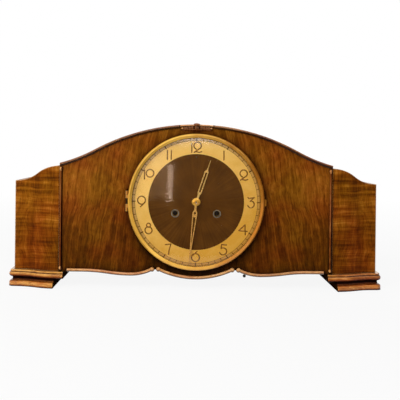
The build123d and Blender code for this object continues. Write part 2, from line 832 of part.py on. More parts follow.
with BuildPart() as bezel_knuckles:
    with BuildSketch(Plane.XY.offset(dial_z + inner_top - KNUCKLE_L)):
        with Locations((hinge_x, hinge_y)):
            Circle(KNUCKLE_R)
        with Locations((hinge_x, hinge_y)):
            Rectangle(2 * KNUCKLE_R, KNUCKLE_R, align=(Align.MIN, Align.MAX))
        with Locations((hinge_x, hinge_y)):
            Circle(HINGE_PIN_R + RUNNING, mode=Mode.SUBTRACT)
    extrude(amount=KNUCKLE_L)
    with BuildSketch(upright(FRONT_Y)):
        with Locations((0, dial_z)):
            Circle(BEZEL_R + RUNNING)
    extrude(amount=BEZEL_DEPTH, mode=Mode.SUBTRACT)
    mirror(about=Plane.XY.offset(dial_z))
keep(bezel_knuckles, "bezel_knuckles")


def hand_plane(y, angle):
    """Plane of a hand at depth y whose local Y points at an angle clockwise from twelve."""
    turn = math.radians(angle)
    return Plane(origin=(0, y, dial_z), x_dir=(math.cos(turn), 0, -math.sin(turn)), z_dir=(0, -1, 0))


def both_sides(half):
    """A closed outline from the right-hand points of a symmetric one."""
    return half + [(-x, y) for x, y in reversed(half)]


# Hour hand: a slotted bar with a needle point
hour_shoulder = HOUR_NECK_L + HAND_SHOULDER
hour_bar_end = 0.73 * hour_hand_l
with BuildPart() as hour_hand:
    with BuildSketch(hand_plane(hour_hand_back, HOUR_HAND_ANGLE)):
        Circle(HUB_R)
        bar = [(HOUR_NECK_W / 2, 0), (HOUR_NECK_W / 2, HOUR_NECK_L), (HOUR_BAR_W / 2, hour_shoulder)]
        bar += [(HOUR_BAR_W / 2, hour_bar_end), (HAND_NEEDLE_W / 2, hour_bar_end + HAND_SHOULDER)]
        bar += [(HAND_POINT_W / 2, hour_hand_l)]
        Polygon(*both_sides(bar), align=None)
        slot = [(HOUR_SLOT_W / 2, hour_shoulder + HAND_WALL), (HOUR_SLOT_W / 2, hour_bar_end - HAND_WALL)]
        Polygon(*both_sides(slot), align=None, mode=Mode.SUBTRACT)
        Circle(HOUR_PIPE_R, mode=Mode.SUBTRACT)
    extrude(amount=HAND_T)
keep(hour_hand, "hour_hand")

# Minute hand: a pierced boss, a long tapered slot and a needle point
minute_shoulder = MINUTE_NECK_L + HAND_SHOULDER
minute_slot_start = 0.235 * minute_hand_l
minute_boss_end = minute_slot_start - HAND_SHOULDER
minute_slot_end = 0.64 * minute_hand_l
with BuildPart() as minute_hand:
    with BuildSketch(hand_plane(minute_hand_back, MINUTE_HAND_ANGLE)):
        Circle(HUB_R - HUB_STEP)
        blade = [(MINUTE_NECK_W / 2, 0), (MINUTE_NECK_W / 2, MINUTE_NECK_L)]
        blade += [(MINUTE_BLADE_W / 2, minute_shoulder), (MINUTE_BLADE_W / 2, minute_boss_end)]
        blade += [(MINUTE_NECK_W / 2, minute_slot_end + HAND_SHOULDER), (HAND_POINT_W / 2, minute_hand_l)]
        Polygon(*both_sides(blade), align=None)
        slot = [(MINUTE_SLOT_W / 2, minute_slot_start), (HAND_POINT_W / 2, minute_slot_end)]
        Polygon(*both_sides(slot), align=None, mode=Mode.SUBTRACT)
        with Locations((0, minute_shoulder + HAND_WALL)):
            Circle(MINUTE_SLOT_W / 2, mode=Mode.SUBTRACT)
        Circle(CANNON_PIPE_R, mode=Mode.SUBTRACT)
    extrude(amount=HAND_T)
keep(minute_hand, "minute_hand")

# Domed nut over the hands
nut_front = minute_hand_front - NUT_H
flange_front = minute_hand_front - NUT_FLANGE_H
flange_mid = ((HUB_R + NUT_R) / 2, minute_hand_front - 0.85 * NUT_FLANGE_H)
nut_edge = NUT_R - NUT_ROUND
nut_turn = nut_front + NUT_ROUND
nut_mid = (nut_edge + NUT_ROUND * math.sqrt(0.5), nut_turn - NUT_ROUND * math.sqrt(0.5))
with BuildPart() as hand_nut:
    with BuildSketch(dial_section):
        with BuildLine():
            Line((ARBOR_R, minute_hand_front), (HUB_R, minute_hand_front))
            ThreePointArc((HUB_R, minute_hand_front), flange_mid, (NUT_R, flange_front))
            Line((NUT_R, flange_front), (NUT_R, nut_turn))
            ThreePointArc((NUT_R, nut_turn), nut_mid, (nut_edge, nut_front))
            Line((nut_edge, nut_front), (ARBOR_R, nut_front + NUT_CUP))
            Line((ARBOR_R, nut_front + NUT_CUP), (ARBOR_R, minute_hand_front))
        make_face()
    revolve(axis=dial_axis)
keep(hand_nut, "hand_nut")


def involute(angle):
    """Involute function of a pressure angle in radians."""
    return math.tan(angle) - angle


def gear_points(teeth, module, phase, steps):
    """Outline of a wheel with stub involute teeth, one tooth centred at phase degrees."""
    pitch_r = teeth * module / 2
    base_r = pitch_r * math.cos(math.radians(PRESSURE))
    root_r = pitch_r - DEDENDUM * module
    tip_r = pitch_r + ADDENDUM * module
    half = (math.pi * module / 2 - BACKLASH) / 2 / pitch_r + involute(math.radians(PRESSURE))
    start_r = max(base_r, root_r)
    flank = []
    for step in range(steps + 1):
        r = start_r + (tip_r - start_r) * step / steps
        flank.append((r, half - involute(math.acos(min(1.0, base_r / r)))))
    if root_r < base_r:
        flank.insert(0, (root_r, half))
    outline = []
    for tooth in range(teeth):
        middle = math.radians(phase) + 2 * math.pi * tooth / teeth
        for r, spread in flank:
            outline.append((r * math.cos(middle - spread), r * math.sin(middle - spread)))
        for r, spread in reversed(flank):
            outline.append((r * math.cos(middle + spread), r * math.sin(middle + spread)))
    return outline


def mesh_phase(spot_a, teeth_a, phase_a, spot_b, teeth_b):
    """Phase in degrees of wheel b that puts its gap opposite the tooth of wheel a."""
    line = math.degrees(math.atan2(spot_b[1] - spot_a[1], spot_b[0] - spot_a[0]))
    return line + 180 + 180 / teeth_b + (line - phase_a) * teeth_a / teeth_b


def beside(spot, distance, angle):
    """The place at a distance from a spot, at an angle from +X."""
    turn = math.radians(angle)
    return (spot[0] + distance * math.cos(turn), spot[1] + distance * math.sin(turn))


def distance_of(module, teeth_a, teeth_b):
    """Centre distance of two wheels in mesh."""
    return module * (teeth_a + teeth_b) / 2


# Places of the arbors, as X and Z
centre = (0.0, dial_z)
going_spot = (-WIND_X, wind_z)
strike_spot = (WIND_X, wind_z)
great_distance = math.hypot(WIND_X, WIND_DROP)
great_module = 2 * great_distance / (GREAT_TEETH + CENTRE_LEAVES)
third_spot = beside(centre, distance_of(TRAIN_MODULE, CENTRE_TEETH, THIRD_LEAVES), THIRD_ANGLE)
escape_rise = math.sqrt(distance_of(FINE_MODULE, THIRD_TEETH, ESCAPE_LEAVES) ** 2 - third_spot[0] ** 2)
escape_spot = (0.0, third_spot[1] + escape_rise)
anchor_spot = (0.0, escape_spot[1] + ANCHOR_RISE)
pin_spot = beside(strike_spot, distance_of(great_module, GREAT_TEETH, PIN_LEAVES), PIN_ANGLE)
fly_spot = beside(pin_spot, distance_of(FINE_MODULE, PIN_TEETH, FLY_LEAVES), FLY_ANGLE)
minute_spot = (0.0, dial_z - MOTION_DISTANCE)
cannon_module = 2 * MOTION_DISTANCE / (CANNON_TEETH + MINUTE_TEETH)
hour_module = 2 * MOTION_DISTANCE / (MINUTE_LEAVES + HOUR_TEETH)
train_spots = [centre, third_spot, escape_spot, anchor_spot, pin_spot, fly_spot]
hammer_spot = (HAMMER_X, dial_z - HAMMER_FALL)

# Depths of the wheel work, each the rear face of its wheel
drum_front = front_plate_back + DRUM_GAP
drum_back = drum_front + DRUM_L
great_back = drum_back + GREAT_T
strike_great_back = drum_front + GREAT_T
centre_wheel_back = great_back + CENTRE_WHEEL_GAP
third_wheel_back = drum_back - THIRD_WHEEL_SET
escape_wheel_back = great_back - ESCAPE_WHEEL_SET
motion_back = panel_back - MOTION_GAP
hour_wheel_back = motion_back - WHEEL_T - MOTION_GAP
arbor_back = back_plate_back + END_SHAKE
arbor_front = panel_back - END_SHAKE


def plate_outline():
    """Brass movement plate with its pivot holes, in the active sketch."""
    with Locations((0, dial_z - PLATE_FALL)):
        Rectangle(2 * PLATE_HALF, PLATE_RISE + PLATE_FALL, align=(Align.CENTER, Align.MIN))
    with Locations(*train_spots):
        Circle(ARBOR_R + RUNNING, mode=Mode.SUBTRACT)
    with Locations(*wind_spots):
        Circle(WIND_ARBOR_R + RUNNING, mode=Mode.SUBTRACT)


def rod(spot, radius, back, front):
    """A round rod along Y at a spot, from its back depth to its front depth."""
    with Locations(Location(Plane(origin=(spot[0], back, spot[1]), z_dir=(0, -1, 0)))):
        Cylinder(radius, back - front, align=(Align.CENTER, Align.CENTER, Align.MIN))


# Front movement plate with the stud of the motion work
with BuildPart() as movement_front_plate:
    with BuildSketch(upright(front_plate_back)):
        plate_outline()
    extrude(amount=PLATE_T)
    rod(minute_spot, ARBOR_R, panel_back, hour_wheel_back - WHEEL_T - END_SHAKE)
keep(movement_front_plate, "movement_front_plate")

# Back movement plate with the stud that carries the hammers
gong_y = back_plate_back + GONG_GAP
hammer_back = gong_y + GONG_STEP + HAMMER_PIPE_TAIL
with BuildPart() as movement_back_plate:
    with BuildSketch(upright(back_plate_back)):
        plate_outline()
    extrude(amount=PLATE_T)
    rod(hammer_spot, ARBOR_R, hammer_back + END_SHAKE, back_plate_back)
keep(movement_back_plate, "movement_back_plate")

# Four turned pillars between the plates
pillar_x = PLATE_HALF - PILLAR_INSET
pillar_low = dial_z - PLATE_FALL + PILLAR_INSET
pillar_high = dial_z + PLATE_RISE - PILLAR_INSET
with BuildPart() as plate_pillars:
    for x in (-pillar_x, pillar_x):
        for z in (pillar_low, pillar_high):
            rod((x, z), PILLAR_R, back_plate_front, front_plate_back)
keep(plate_pillars, "plate_pillars")

# Straps that hold the movement to the back of the front board
strap_hole = math.sqrt(dial_hole_r**2 - (BRACKET_RISE - BRACKET_W / 2) ** 2)
strap_out = strap_hole + BRACKET_LAP
strap_in = PLATE_HALF - BRACKET_W
with BuildPart() as movement_brackets:
    for z in (dial_z - BRACKET_RISE, dial_z + BRACKET_RISE):
        with BuildSketch(upright(front_plate_back + BRACKET_T)):
            with Locations((strap_in, z)):
                Rectangle(strap_out - strap_in, BRACKET_W, align=(Align.MIN, Align.CENTER))
        extrude(amount=BRACKET_T)
        with BuildSketch(upright(front_plate_back)):
            with Locations((strap_out, z)):
                Rectangle(BRACKET_LAP - BRACKET_T, BRACKET_W, align=(Align.MAX, Align.CENTER))
        extrude(amount=PLATE_T)
    mirror(about=Plane.YZ)
keep(movement_brackets, "movement_brackets")


def spokes(rim_r, hub_r):
    """Cut the openings between four spokes, in the active sketch, about its origin."""
    with PolarLocations(0, 4):
        inner = [(hub_r, SPOKE_W / 2), (rim_r, SPOKE_W / 2)]
        far = rim_r * math.sqrt(0.5)
        Polygon(inner[0], inner[1], (far, far), (SPOKE_W / 2, rim_r), (SPOKE_W / 2, hub_r),
                align=None, mode=Mode.SUBTRACT)


def wheel_plane(spot, y):
    """Upright plane at depth y with its origin on an arbor."""
    return Plane(origin=(spot[0], y, spot[1]), x_dir=(1, 0, 0), z_dir=(0, -1, 0))


# Centre arbor with the pinion that the going barrel drives
centre_phase = mesh_phase(going_spot, GREAT_TEETH, 0, centre, CENTRE_LEAVES)
with BuildPart() as centre_arbor:
    with BuildSketch(wheel_plane(centre, great_back + LEAF_LAP)):
        Polygon(*gear_points(CENTRE_LEAVES, great_module, centre_phase, 3), align=None)
    extrude(amount=LEAF_L)
    rod(centre, ARBOR_R, arbor_back, nut_turn)
keep(centre_arbor, "centre_arbor")

with BuildPart() as centre_wheel:
    with BuildSketch(wheel_plane(centre, centre_wheel_back)):
        Polygon(*gear_points(CENTRE_TEETH, TRAIN_MODULE, 0, 1), align=None)
        spokes(CENTRE_TEETH * TRAIN_MODULE / 2 - WHEEL_RIM, WHEEL_HUB_R)
        Circle(ARBOR_R, mode=Mode.SUBTRACT)
    extrude(amount=WHEEL_T)
keep(centre_wheel, "centre_wheel")

# Cannon pinion that carries the minute hand
with BuildPart() as cannon_pinion:
    with BuildSketch(wheel_plane(centre, motion_back)):
        Polygon(*gear_points(CANNON_TEETH, cannon_module, 0, 3), align=None)
    extrude(amount=WHEEL_T)
    rod(centre, CANNON_PIPE_R, motion_back, minute_hand_front)
    with BuildSketch(wheel_plane(centre, motion_back)):
        Circle(ARBOR_R)
    extrude(amount=motion_back - minute_hand_front, mode=Mode.SUBTRACT)
keep(cannon_pinion, "cannon_pinion")

# Minute wheel and pinion that turn on the stud of the front plate
minute_phase = mesh_phase(centre, CANNON_TEETH, 0, minute_spot, MINUTE_TEETH)
with BuildPart() as minute_wheel:
    with BuildSketch(wheel_plane(minute_spot, motion_back)):
        Polygon(*gear_points(MINUTE_TEETH, cannon_module, minute_phase, 1), align=None)
        Circle(ARBOR_R + RUNNING, mode=Mode.SUBTRACT)
    extrude(amount=WHEEL_T)
    with BuildSketch(wheel_plane(minute_spot, motion_back - WHEEL_T)):
        Polygon(*gear_points(MINUTE_LEAVES, hour_module, 0, 3), align=None)
        Circle(ARBOR_R + RUNNING, mode=Mode.SUBTRACT)
    extrude(amount=motion_back - hour_wheel_back)
keep(minute_wheel, "minute_wheel")

# Hour wheel on a pipe over the cannon pinion
hour_phase = mesh_phase(minute_spot, MINUTE_LEAVES, 0, centre, HOUR_TEETH)
with BuildPart() as hour_wheel:
    with BuildSketch(wheel_plane(centre, hour_wheel_back)):
        Polygon(*gear_points(HOUR_TEETH, hour_module, hour_phase, 1), align=None)
    extrude(amount=WHEEL_T)
    rod(centre, HOUR_PIPE_R, hour_wheel_back, hour_hand_front)
    with BuildSketch(wheel_plane(centre, hour_wheel_back)):
        Circle(CANNON_PIPE_R + RUNNING)
    extrude(amount=hour_wheel_back - hour_hand_front, mode=Mode.SUBTRACT)
keep(hour_wheel, "hour_wheel")

# Third wheel and its pinion
third_phase = mesh_phase(centre, CENTRE_TEETH, 0, third_spot, THIRD_LEAVES)
with BuildPart() as third_wheel:
    with BuildSketch(wheel_plane(third_spot, centre_wheel_back + LEAF_LAP)):
        Polygon(*gear_points(THIRD_LEAVES, TRAIN_MODULE, third_phase, 3), align=None)
    extrude(amount=LEAF_L)
    with BuildSketch(wheel_plane(third_spot, third_wheel_back)):
        Polygon(*gear_points(THIRD_TEETH, FINE_MODULE, 0, 1), align=None)
        spokes(THIRD_TEETH * FINE_MODULE / 2 - WHEEL_RIM, WHEEL_HUB_R)
    extrude(amount=WHEEL_T)
    rod(third_spot, ARBOR_R, arbor_back, arbor_front)
keep(third_wheel, "third_wheel")


def escape_points():
    """Outline of the escape wheel with raked pointed teeth."""
    outline = []
    for tooth in range(ESCAPE_TEETH):
        start = 2 * math.pi * tooth / ESCAPE_TEETH
        root = ESCAPE_R * ESCAPE_ROOT
        lean = 2 * math.pi / ESCAPE_TEETH
        for r, turn in ((root, 0.0), (ESCAPE_R, 0.12), (ESCAPE_R, 0.2), (root, 0.62)):
            outline.append((r * math.cos(start + turn * lean), r * math.sin(start + turn * lean)))
    return outline


# Escape wheel and its pinion
escape_phase = mesh_phase(third_spot, THIRD_TEETH, 0, escape_spot, ESCAPE_LEAVES)
with BuildPart() as escape_wheel:
    with BuildSketch(wheel_plane(escape_spot, third_wheel_back + LEAF_LAP)):
        Polygon(*gear_points(ESCAPE_LEAVES, FINE_MODULE, escape_phase, 3), align=None)
    extrude(amount=LEAF_L)
    with BuildSketch(wheel_plane(escape_spot, escape_wheel_back)):
        Polygon(*escape_points(), align=None)
        spokes(ESCAPE_R * ESCAPE_ROOT - ESCAPE_RIM, ESCAPE_HUB_R)
    extrude(amount=WHEEL_T)
    rod(escape_spot, ARBOR_R, arbor_back, arbor_front)
keep(escape_wheel, "escape_wheel")


# Going barrel with its great wheel behind the drum
with BuildPart() as going_barrel:
    with BuildSketch(wheel_plane(going_spot, great_back)):
        Polygon(*gear_points(GREAT_TEETH, great_module, 0, 1), align=None)
    extrude(amount=GREAT_T)
    rod(going_spot, DRUM_R, drum_back, drum_front)
    with BuildSketch(wheel_plane(going_spot, drum_back)):
        Circle(DRUM_R - DRUM_WALL)
    extrude(amount=DRUM_L - DRUM_WALL, mode=Mode.SUBTRACT)
    with BuildSketch(wheel_plane(going_spot, great_back)):
        Circle(WIND_ARBOR_R + RUNNING)
    extrude(amount=great_back - drum_front, mode=Mode.SUBTRACT)
keep(going_barrel, "going_barrel")

# Strike barrel with its great wheel in front of the drum
with BuildPart() as strike_barrel:
    with BuildSketch(wheel_plane(strike_spot, strike_great_back)):
        Polygon(*gear_points(GREAT_TEETH, great_module, 0, 1), align=None)
    extrude(amount=GREAT_T)
    rod(strike_spot, DRUM_R, great_back, strike_great_back)
    with BuildSketch(wheel_plane(strike_spot, great_back - DRUM_WALL)):
        Circle(DRUM_R - DRUM_WALL)
    extrude(amount=DRUM_L - DRUM_WALL, mode=Mode.SUBTRACT)
    with BuildSketch(wheel_plane(strike_spot, great_back)):
        Circle(WIND_ARBOR_R + RUNNING)
    extrude(amount=great_back - drum_front, mode=Mode.SUBTRACT)
keep(strike_barrel, "strike_barrel")

# Winding arbors: round through the barrels, square where the key fits
wind_square_back = panel_back - WIND_SHOULDER
wind_square_front = FRONT_Y + WIND_SINK
for name, spot in (("going_winding_arbor", going_spot), ("strike_winding_arbor", strike_spot)):
    with BuildPart() as winding_arbor:
        rod(spot, WIND_ARBOR_R, arbor_back, wind_square_back)
        with BuildSketch(wheel_plane(spot, wind_square_back)):
            Rectangle(WIND_SQUARE, WIND_SQUARE)
        extrude(amount=wind_square_back - wind_square_front)
    keep(winding_arbor, name)

# Strike wheel with lifting pins, driven by the strike barrel
pin_phase = mesh_phase(strike_spot, GREAT_TEETH, 0, pin_spot, PIN_LEAVES)
pin_circle_r = PIN_TEETH * FINE_MODULE / 2 - WHEEL_RIM
with BuildPart() as pin_wheel:
    with BuildSketch(wheel_plane(pin_spot, strike_great_back + LEAF_LAP)):
        Polygon(*gear_points(PIN_LEAVES, great_module, pin_phase, 3), align=None)
    extrude(amount=LEAF_L)
    with BuildSketch(wheel_plane(pin_spot, centre_wheel_back)):
        Polygon(*gear_points(PIN_TEETH, FINE_MODULE, 0, 1), align=None)
        spokes(pin_circle_r - 2 * LIFT_PIN_R, WHEEL_HUB_R)
    extrude(amount=WHEEL_T)
    with BuildSketch(wheel_plane(pin_spot, centre_wheel_back + LIFT_PIN_L)):
        with PolarLocations(pin_circle_r, LIFT_PIN_COUNT):
            Circle(LIFT_PIN_R)
    extrude(amount=LIFT_PIN_L)
    rod(pin_spot, ARBOR_R, arbor_back, arbor_front)
keep(pin_wheel, "pin_wheel")

# Fly that slows the strike
fly_phase = mesh_phase(pin_spot, PIN_TEETH, 0, fly_spot, FLY_LEAVES)
fly_back = third_wheel_back + FLY_SET
with BuildPart() as strike_fly:
    with BuildSketch(wheel_plane(fly_spot, centre_wheel_back + LEAF_LAP)):
        Polygon(*gear_points(FLY_LEAVES, FINE_MODULE, fly_phase, 3), align=None)
    extrude(amount=LEAF_L)
    with BuildSketch(wheel_plane(fly_spot, fly_back)):
        Rectangle(2 * FLY_HALF, FLY_T)
    extrude(amount=FLY_L)
    rod(fly_spot, ARBOR_R, arbor_back, arbor_front)
keep(strike_fly, "strike_fly")

# Anchor with its pallets over the escape wheel, and the crutch behind the back plate
pallet_r = ESCAPE_R + PALLET_GAP
pallet_turn = math.radians(PALLET_ANGLE)
pallet_x = pallet_r * math.sin(pallet_turn)
pallet_z = escape_spot[1] + pallet_r * math.cos(pallet_turn) - anchor_spot[1]
crutch_back = back_plate_back + CRUTCH_GAP
pendulum_y = back_plate_back + PENDULUM_GAP
with BuildPart() as anchor:
    with BuildSketch(wheel_plane(anchor_spot, escape_wheel_back + ANCHOR_LAP)):
        Circle(ANCHOR_HUB_R)
        for side in (-1, 1):
            heel = (side * (pallet_x + PALLET_W), pallet_z + ANCHOR_ARM)
            toe = (side * (pallet_x + PALLET_W / 2), pallet_z - PALLET_W / 3)
            inside = (side * pallet_x, pallet_z + PALLET_W / 5)
            Polygon((0, ANCHOR_ARM), heel, toe, inside, (0, -ANCHOR_ARM), align=None)
    extrude(amount=ANCHOR_T)
    with BuildSketch(wheel_plane(anchor_spot, crutch_back)):
        Circle(CRUTCH_W)
        with Locations((0, -CRUTCH_L)):
            Rectangle(CRUTCH_W, CRUTCH_L, align=(Align.CENTER, Align.MIN))
    extrude(amount=CRUTCH_T)
    rod(anchor_spot, ARBOR_R, crutch_back, arbor_front)
    crutch_pin = (0, anchor_spot[1] - CRUTCH_L + CRUTCH_W / 2)
    rod(crutch_pin, CRUTCH_PIN_R, pendulum_y - ROD_R - CRUTCH_PIN_GAP, crutch_back)
keep(anchor, "anchor")

# Suspension spring and rod of the pendulum
spring_foot = anchor_spot[1] - SPRING_L
spring_block = spring_foot - SPRING_BLOCK_H
bob_z = anchor_spot[1] - PENDULUM_L
rod_foot = bob_z - BOB_R - ROD_TAIL
with BuildPart() as pendulum_rod:
    with BuildSketch(Plane.XY.offset(spring_block)):
        with Locations((0, pendulum_y)):
            Rectangle(SPRING_T, SPRING_W)
    extrude(amount=SPRING_BLOCK_H + SPRING_L + SPRING_GRIP)
    with BuildSketch(Plane.XY.offset(spring_block)):
        with Locations((0, pendulum_y)):
            Rectangle(SPRING_BLOCK_T, SPRING_W)
    extrude(amount=SPRING_BLOCK_H)
    with BuildSketch(Plane.XY.offset(rod_foot)):
        with Locations((0, pendulum_y)):
            Circle(ROD_R)
    extrude(amount=spring_block - rod_foot)
keep(pendulum_rod, "pendulum_rod")

# Lens shaped bob on the rod
edge_half = BOB_EDGE / 2
lens_r = (BOB_R**2 + (BOB_T / 2 - edge_half) ** 2) / (2 * (BOB_T / 2 - edge_half))
lens_mid = BOB_T / 2 - lens_r + math.sqrt(lens_r**2 - BOB_R**2 / 4)
with BuildPart() as pendulum_bob:
    with BuildSketch(Plane(origin=(0, pendulum_y, bob_z), x_dir=(1, 0, 0), z_dir=(0, 0, 1))):
        with BuildLine():
            Line((0, -BOB_T / 2), (0, BOB_T / 2))
            ThreePointArc((0, BOB_T / 2), (BOB_R / 2, lens_mid), (BOB_R, edge_half))
            Line((BOB_R, edge_half), (BOB_R, -edge_half))
            ThreePointArc((BOB_R, -edge_half), (BOB_R / 2, -lens_mid), (0, -BOB_T / 2))
        make_face()
    revolve(axis=Axis((0, pendulum_y, bob_z), (0, 1, 0)))
    with BuildSketch(Plane.XY.offset(bob_z - BOB_R - BOB_EDGE)):
        with Locations((0, pendulum_y)):
            Circle(ROD_R)
    extrude(amount=2 * (BOB_R + BOB_EDGE), mode=Mode.SUBTRACT)
keep(pendulum_bob, "pendulum_bob")

# Rating nut that carries the bob
with BuildPart() as rating_nut:
    with BuildSketch(Plane.XY.offset(bob_z - BOB_R - RATING_NUT_GAP - RATING_NUT_H)):
        with Locations((0, pendulum_y)):
            Circle(RATING_NUT_R)
            Circle(ROD_R, mode=Mode.SUBTRACT)
    extrude(amount=RATING_NUT_H)
keep(rating_nut, "rating_nut")

# Cock on the back plate: holds the suspension spring and guides the regulator
regulator_z = dial_z + REGULATOR_RISE
plate_top = dial_z + PLATE_RISE
cock_low = anchor_spot[1] + COCK_GAP
cock_back = pendulum_y + SPRING_W / 2 + COCK_WALL
cock_arm_back = back_plate_back + COCK_ARM_T
with BuildPart() as pendulum_cock:
    with BuildSketch(Plane.XY.offset(cock_low)):
        with Locations((0, back_plate_back)):
            Rectangle(COCK_W, cock_back - back_plate_back, align=(Align.CENTER, Align.MIN))
        with Locations((0, pendulum_y)):
            Rectangle(SPRING_T + SPRING_PLAY, SPRING_W + SPRING_PLAY, mode=Mode.SUBTRACT)
    extrude(amount=plate_top - cock_low)
    with BuildSketch(upright(cock_arm_back)):
        with Locations((0, plate_top)):
            Rectangle(COCK_ARM_W, regulator_z + COCK_ARM_EDGE - plate_top, align=(Align.CENTER, Align.MIN))
        with Locations((0, regulator_z)):
            Circle(REGULATOR_R + RUNNING, mode=Mode.SUBTRACT)
    extrude(amount=COCK_ARM_T)
keep(pendulum_cock, "pendulum_cock")

# Regulator arbor from the dial to the cock
with BuildPart() as regulator_arbor:
    rod((0, regulator_z), REGULATOR_R, cock_arm_back + END_SHAKE, chapter_front)
keep(regulator_arbor, "regulator_arbor")

# Gong block on the floor of the case and the strike rods it holds
gong_rows = [gong_y + GONG_STEP * row for row in range(GONG_COUNT)]
gong_mid_y = (gong_rows[0] + gong_rows[-1]) / 2
gong_block_d = gong_rows[-1] - gong_rows[0] + 2 * GONG_BLOCK_EDGE
with BuildPart() as gong_block:
    with BuildSketch(Plane.XY.offset(base_top)):
        with Locations((gong_x, gong_mid_y)):
            Rectangle(GONG_BLOCK_W, gong_block_d, align=(Align.MIN, Align.CENTER))
    extrude(amount=GONG_Z + GONG_BLOCK_RISE - base_top)
    chamfer(gong_block.faces().sort_by(Axis.Z)[-1].edges(), GONG_BLOCK_CHAMFER)
keep(gong_block, "gong_block")

with BuildPart() as gong_rods:
    with BuildSketch(Plane(origin=(gong_x, 0, GONG_Z), x_dir=(0, 1, 0), z_dir=(-1, 0, 0))):
        with Locations(*[(y, 0) for y in gong_rows]):
            Circle(GONG_ROD_R)
    extrude(amount=GONG_ROD_L)
keep(gong_rods, "gong_rods")

# Hammers on one pipe, each with a round head over a rod
head_x = HAMMER_X + HAMMER_REACH
head_low = GONG_Z + GONG_ROD_R + HAMMER_GAP
arm_z = head_low + HAMMER_L - HAMMER_ARM_DROP
with BuildPart() as strike_hammers:
    rod(hammer_spot, HAMMER_PIPE_R, hammer_back, back_plate_back + END_SHAKE)
    for y in gong_rows[:2]:
        with BuildSketch(upright(y + HAMMER_ARM_T / 2)):
            low, high = hammer_spot[1] - HAMMER_ARM_W / 2, hammer_spot[1] + HAMMER_ARM_W / 2
            arm_tip = [(head_x, arm_z), (head_x, arm_z - HAMMER_ARM_TIP)]
            Polygon((HAMMER_X, low), (HAMMER_X, high), *arm_tip, align=None)
        extrude(amount=HAMMER_ARM_T)
        with BuildSketch(Plane.XY.offset(head_low)):
            with Locations((head_x, y)):
                Circle(HAMMER_R)
        extrude(amount=HAMMER_L)
    with BuildSketch(wheel_plane(hammer_spot, hammer_back)):
        Circle(ARBOR_R + RUNNING)
    extrude(amount=hammer_back - back_plate_back, mode=Mode.SUBTRACT)
keep(strike_hammers, "strike_hammers")

# Bracket with a stud behind the front board, and the strike and silent lever on it
lever_back = lever_y + LEVER_T / 2
bracket_back = lever_y - LEVER_T / 2 - LEVER_GAP
with BuildPart() as lever_bracket:
    with BuildSketch(upright(bracket_back)):
        with Locations((LEVER_X, LEVER_PIVOT_Z)):
            RectangleRounded(LEVER_PAD_W, LEVER_PAD_H, LEVER_PAD_ROUND)
    extrude(amount=bracket_back - panel_back)
    rod((LEVER_X, LEVER_PIVOT_Z), LEVER_STUD_R, lever_back + LEVER_STUD_END, bracket_back)
keep(lever_bracket, "lever_bracket")

with BuildPart() as strike_lever:
    with BuildSketch(upright(lever_back)):
        with Locations((LEVER_X, LEVER_PIVOT_Z)):
            Circle(LEVER_BOSS_R)
            Rectangle(LEVER_W, LEVER_PIVOT_Z - BASE_Z + LEVER_TAIL, align=(Align.CENTER, Align.MAX))
        with Locations((LEVER_X, LEVER_PIVOT_Z)):
            Circle(LEVER_STUD_R + RUNNING, mode=Mode.SUBTRACT)
    extrude(amount=LEVER_T)
    with BuildSketch(Plane.XY.offset(KNOB_Z)):
        with Locations((LEVER_X, lever_y)):
            Circle(LEVER_T / 2)
    extrude(amount=BASE_Z - LEVER_WIRE_LAP - KNOB_Z)
    with Locations((LEVER_X, lever_y, KNOB_Z)):
        Sphere(LEVER_KNOB_R, mode=Mode.SUBTRACT)
keep(strike_lever, "strike_lever")

with BuildPart() as lever_knob:
    with Locations((LEVER_X, lever_y, KNOB_Z)):
        Sphere(LEVER_KNOB_R)
keep(lever_knob, "lever_knob")

# Back door inside its opening
door_edge = DOOR_HALF - DOOR_GAP
with BuildPart() as back_door:
    with BuildSketch(upright(BACK_Y)):
        with Locations((0, door_mid_z)):
            RectangleRounded(2 * door_edge, door_height - 2 * DOOR_GAP, DOOR_CORNER - DOOR_GAP)
    extrude(amount=DOOR_T)
keep(back_door, "back_door")

# Butt hinges of the door: fixed leaves with their pins, and moving leaves with a turned knob
door_axis_x = DOOR_HALF + DOOR_HINGE_SET
door_axis_y = BACK_Y + DOOR_HINGE_R
door_spots = [door_mid_z - DOOR_HINGE_SPREAD, door_mid_z + DOOR_HINGE_SPREAD]
with BuildPart() as door_hinge_fixed:
    for z in door_spots:
        with BuildSketch(Plane.XY.offset(z)):
            with Locations((door_axis_x, door_axis_y)):
                Circle(DOOR_HINGE_R)
            with Locations((door_axis_x, BACK_Y)):
                Rectangle(DOOR_LEAF_W, DOOR_LEAF_T, align=(Align.MIN, Align.MIN))
        extrude(amount=DOOR_HINGE_L)
        with BuildSketch(Plane.XY.offset(z - DOOR_HINGE_L)):
            with Locations((door_axis_x, door_axis_y)):
                Circle(DOOR_PIN_R)
        extrude(amount=DOOR_HINGE_L)
keep(door_hinge_fixed, "door_hinge_fixed")

door_knob_x = DOOR_KNOB_INSET - DOOR_HALF
door_knob = Plane(origin=(door_knob_x, BACK_Y, door_mid_z), x_dir=(1, 0, 0), z_dir=(0, 1, 0))
with BuildPart() as door_fittings:
    for z in door_spots:
        with BuildSketch(Plane.XY.offset(z - DOOR_HINGE_L)):
            with Locations((door_axis_x, door_axis_y)):
                Circle(DOOR_HINGE_R)
            with Locations((door_axis_x, BACK_Y)):
                Rectangle(DOOR_LEAF_W, DOOR_LEAF_T, align=(Align.MAX, Align.MIN))
            with Locations((door_axis_x, door_axis_y)):
                Circle(DOOR_PIN_R + RUNNING, mode=Mode.SUBTRACT)
        extrude(amount=DOOR_HINGE_L - DOOR_HINGE_PLAY)
    with BuildSketch(door_knob):
        Circle(DOOR_KNOB_R)
    extrude(amount=DOOR_KNOB_H)
    fillet(door_fittings.edges().sort_by(Axis.X)[0], DOOR_KNOB_ROUND)
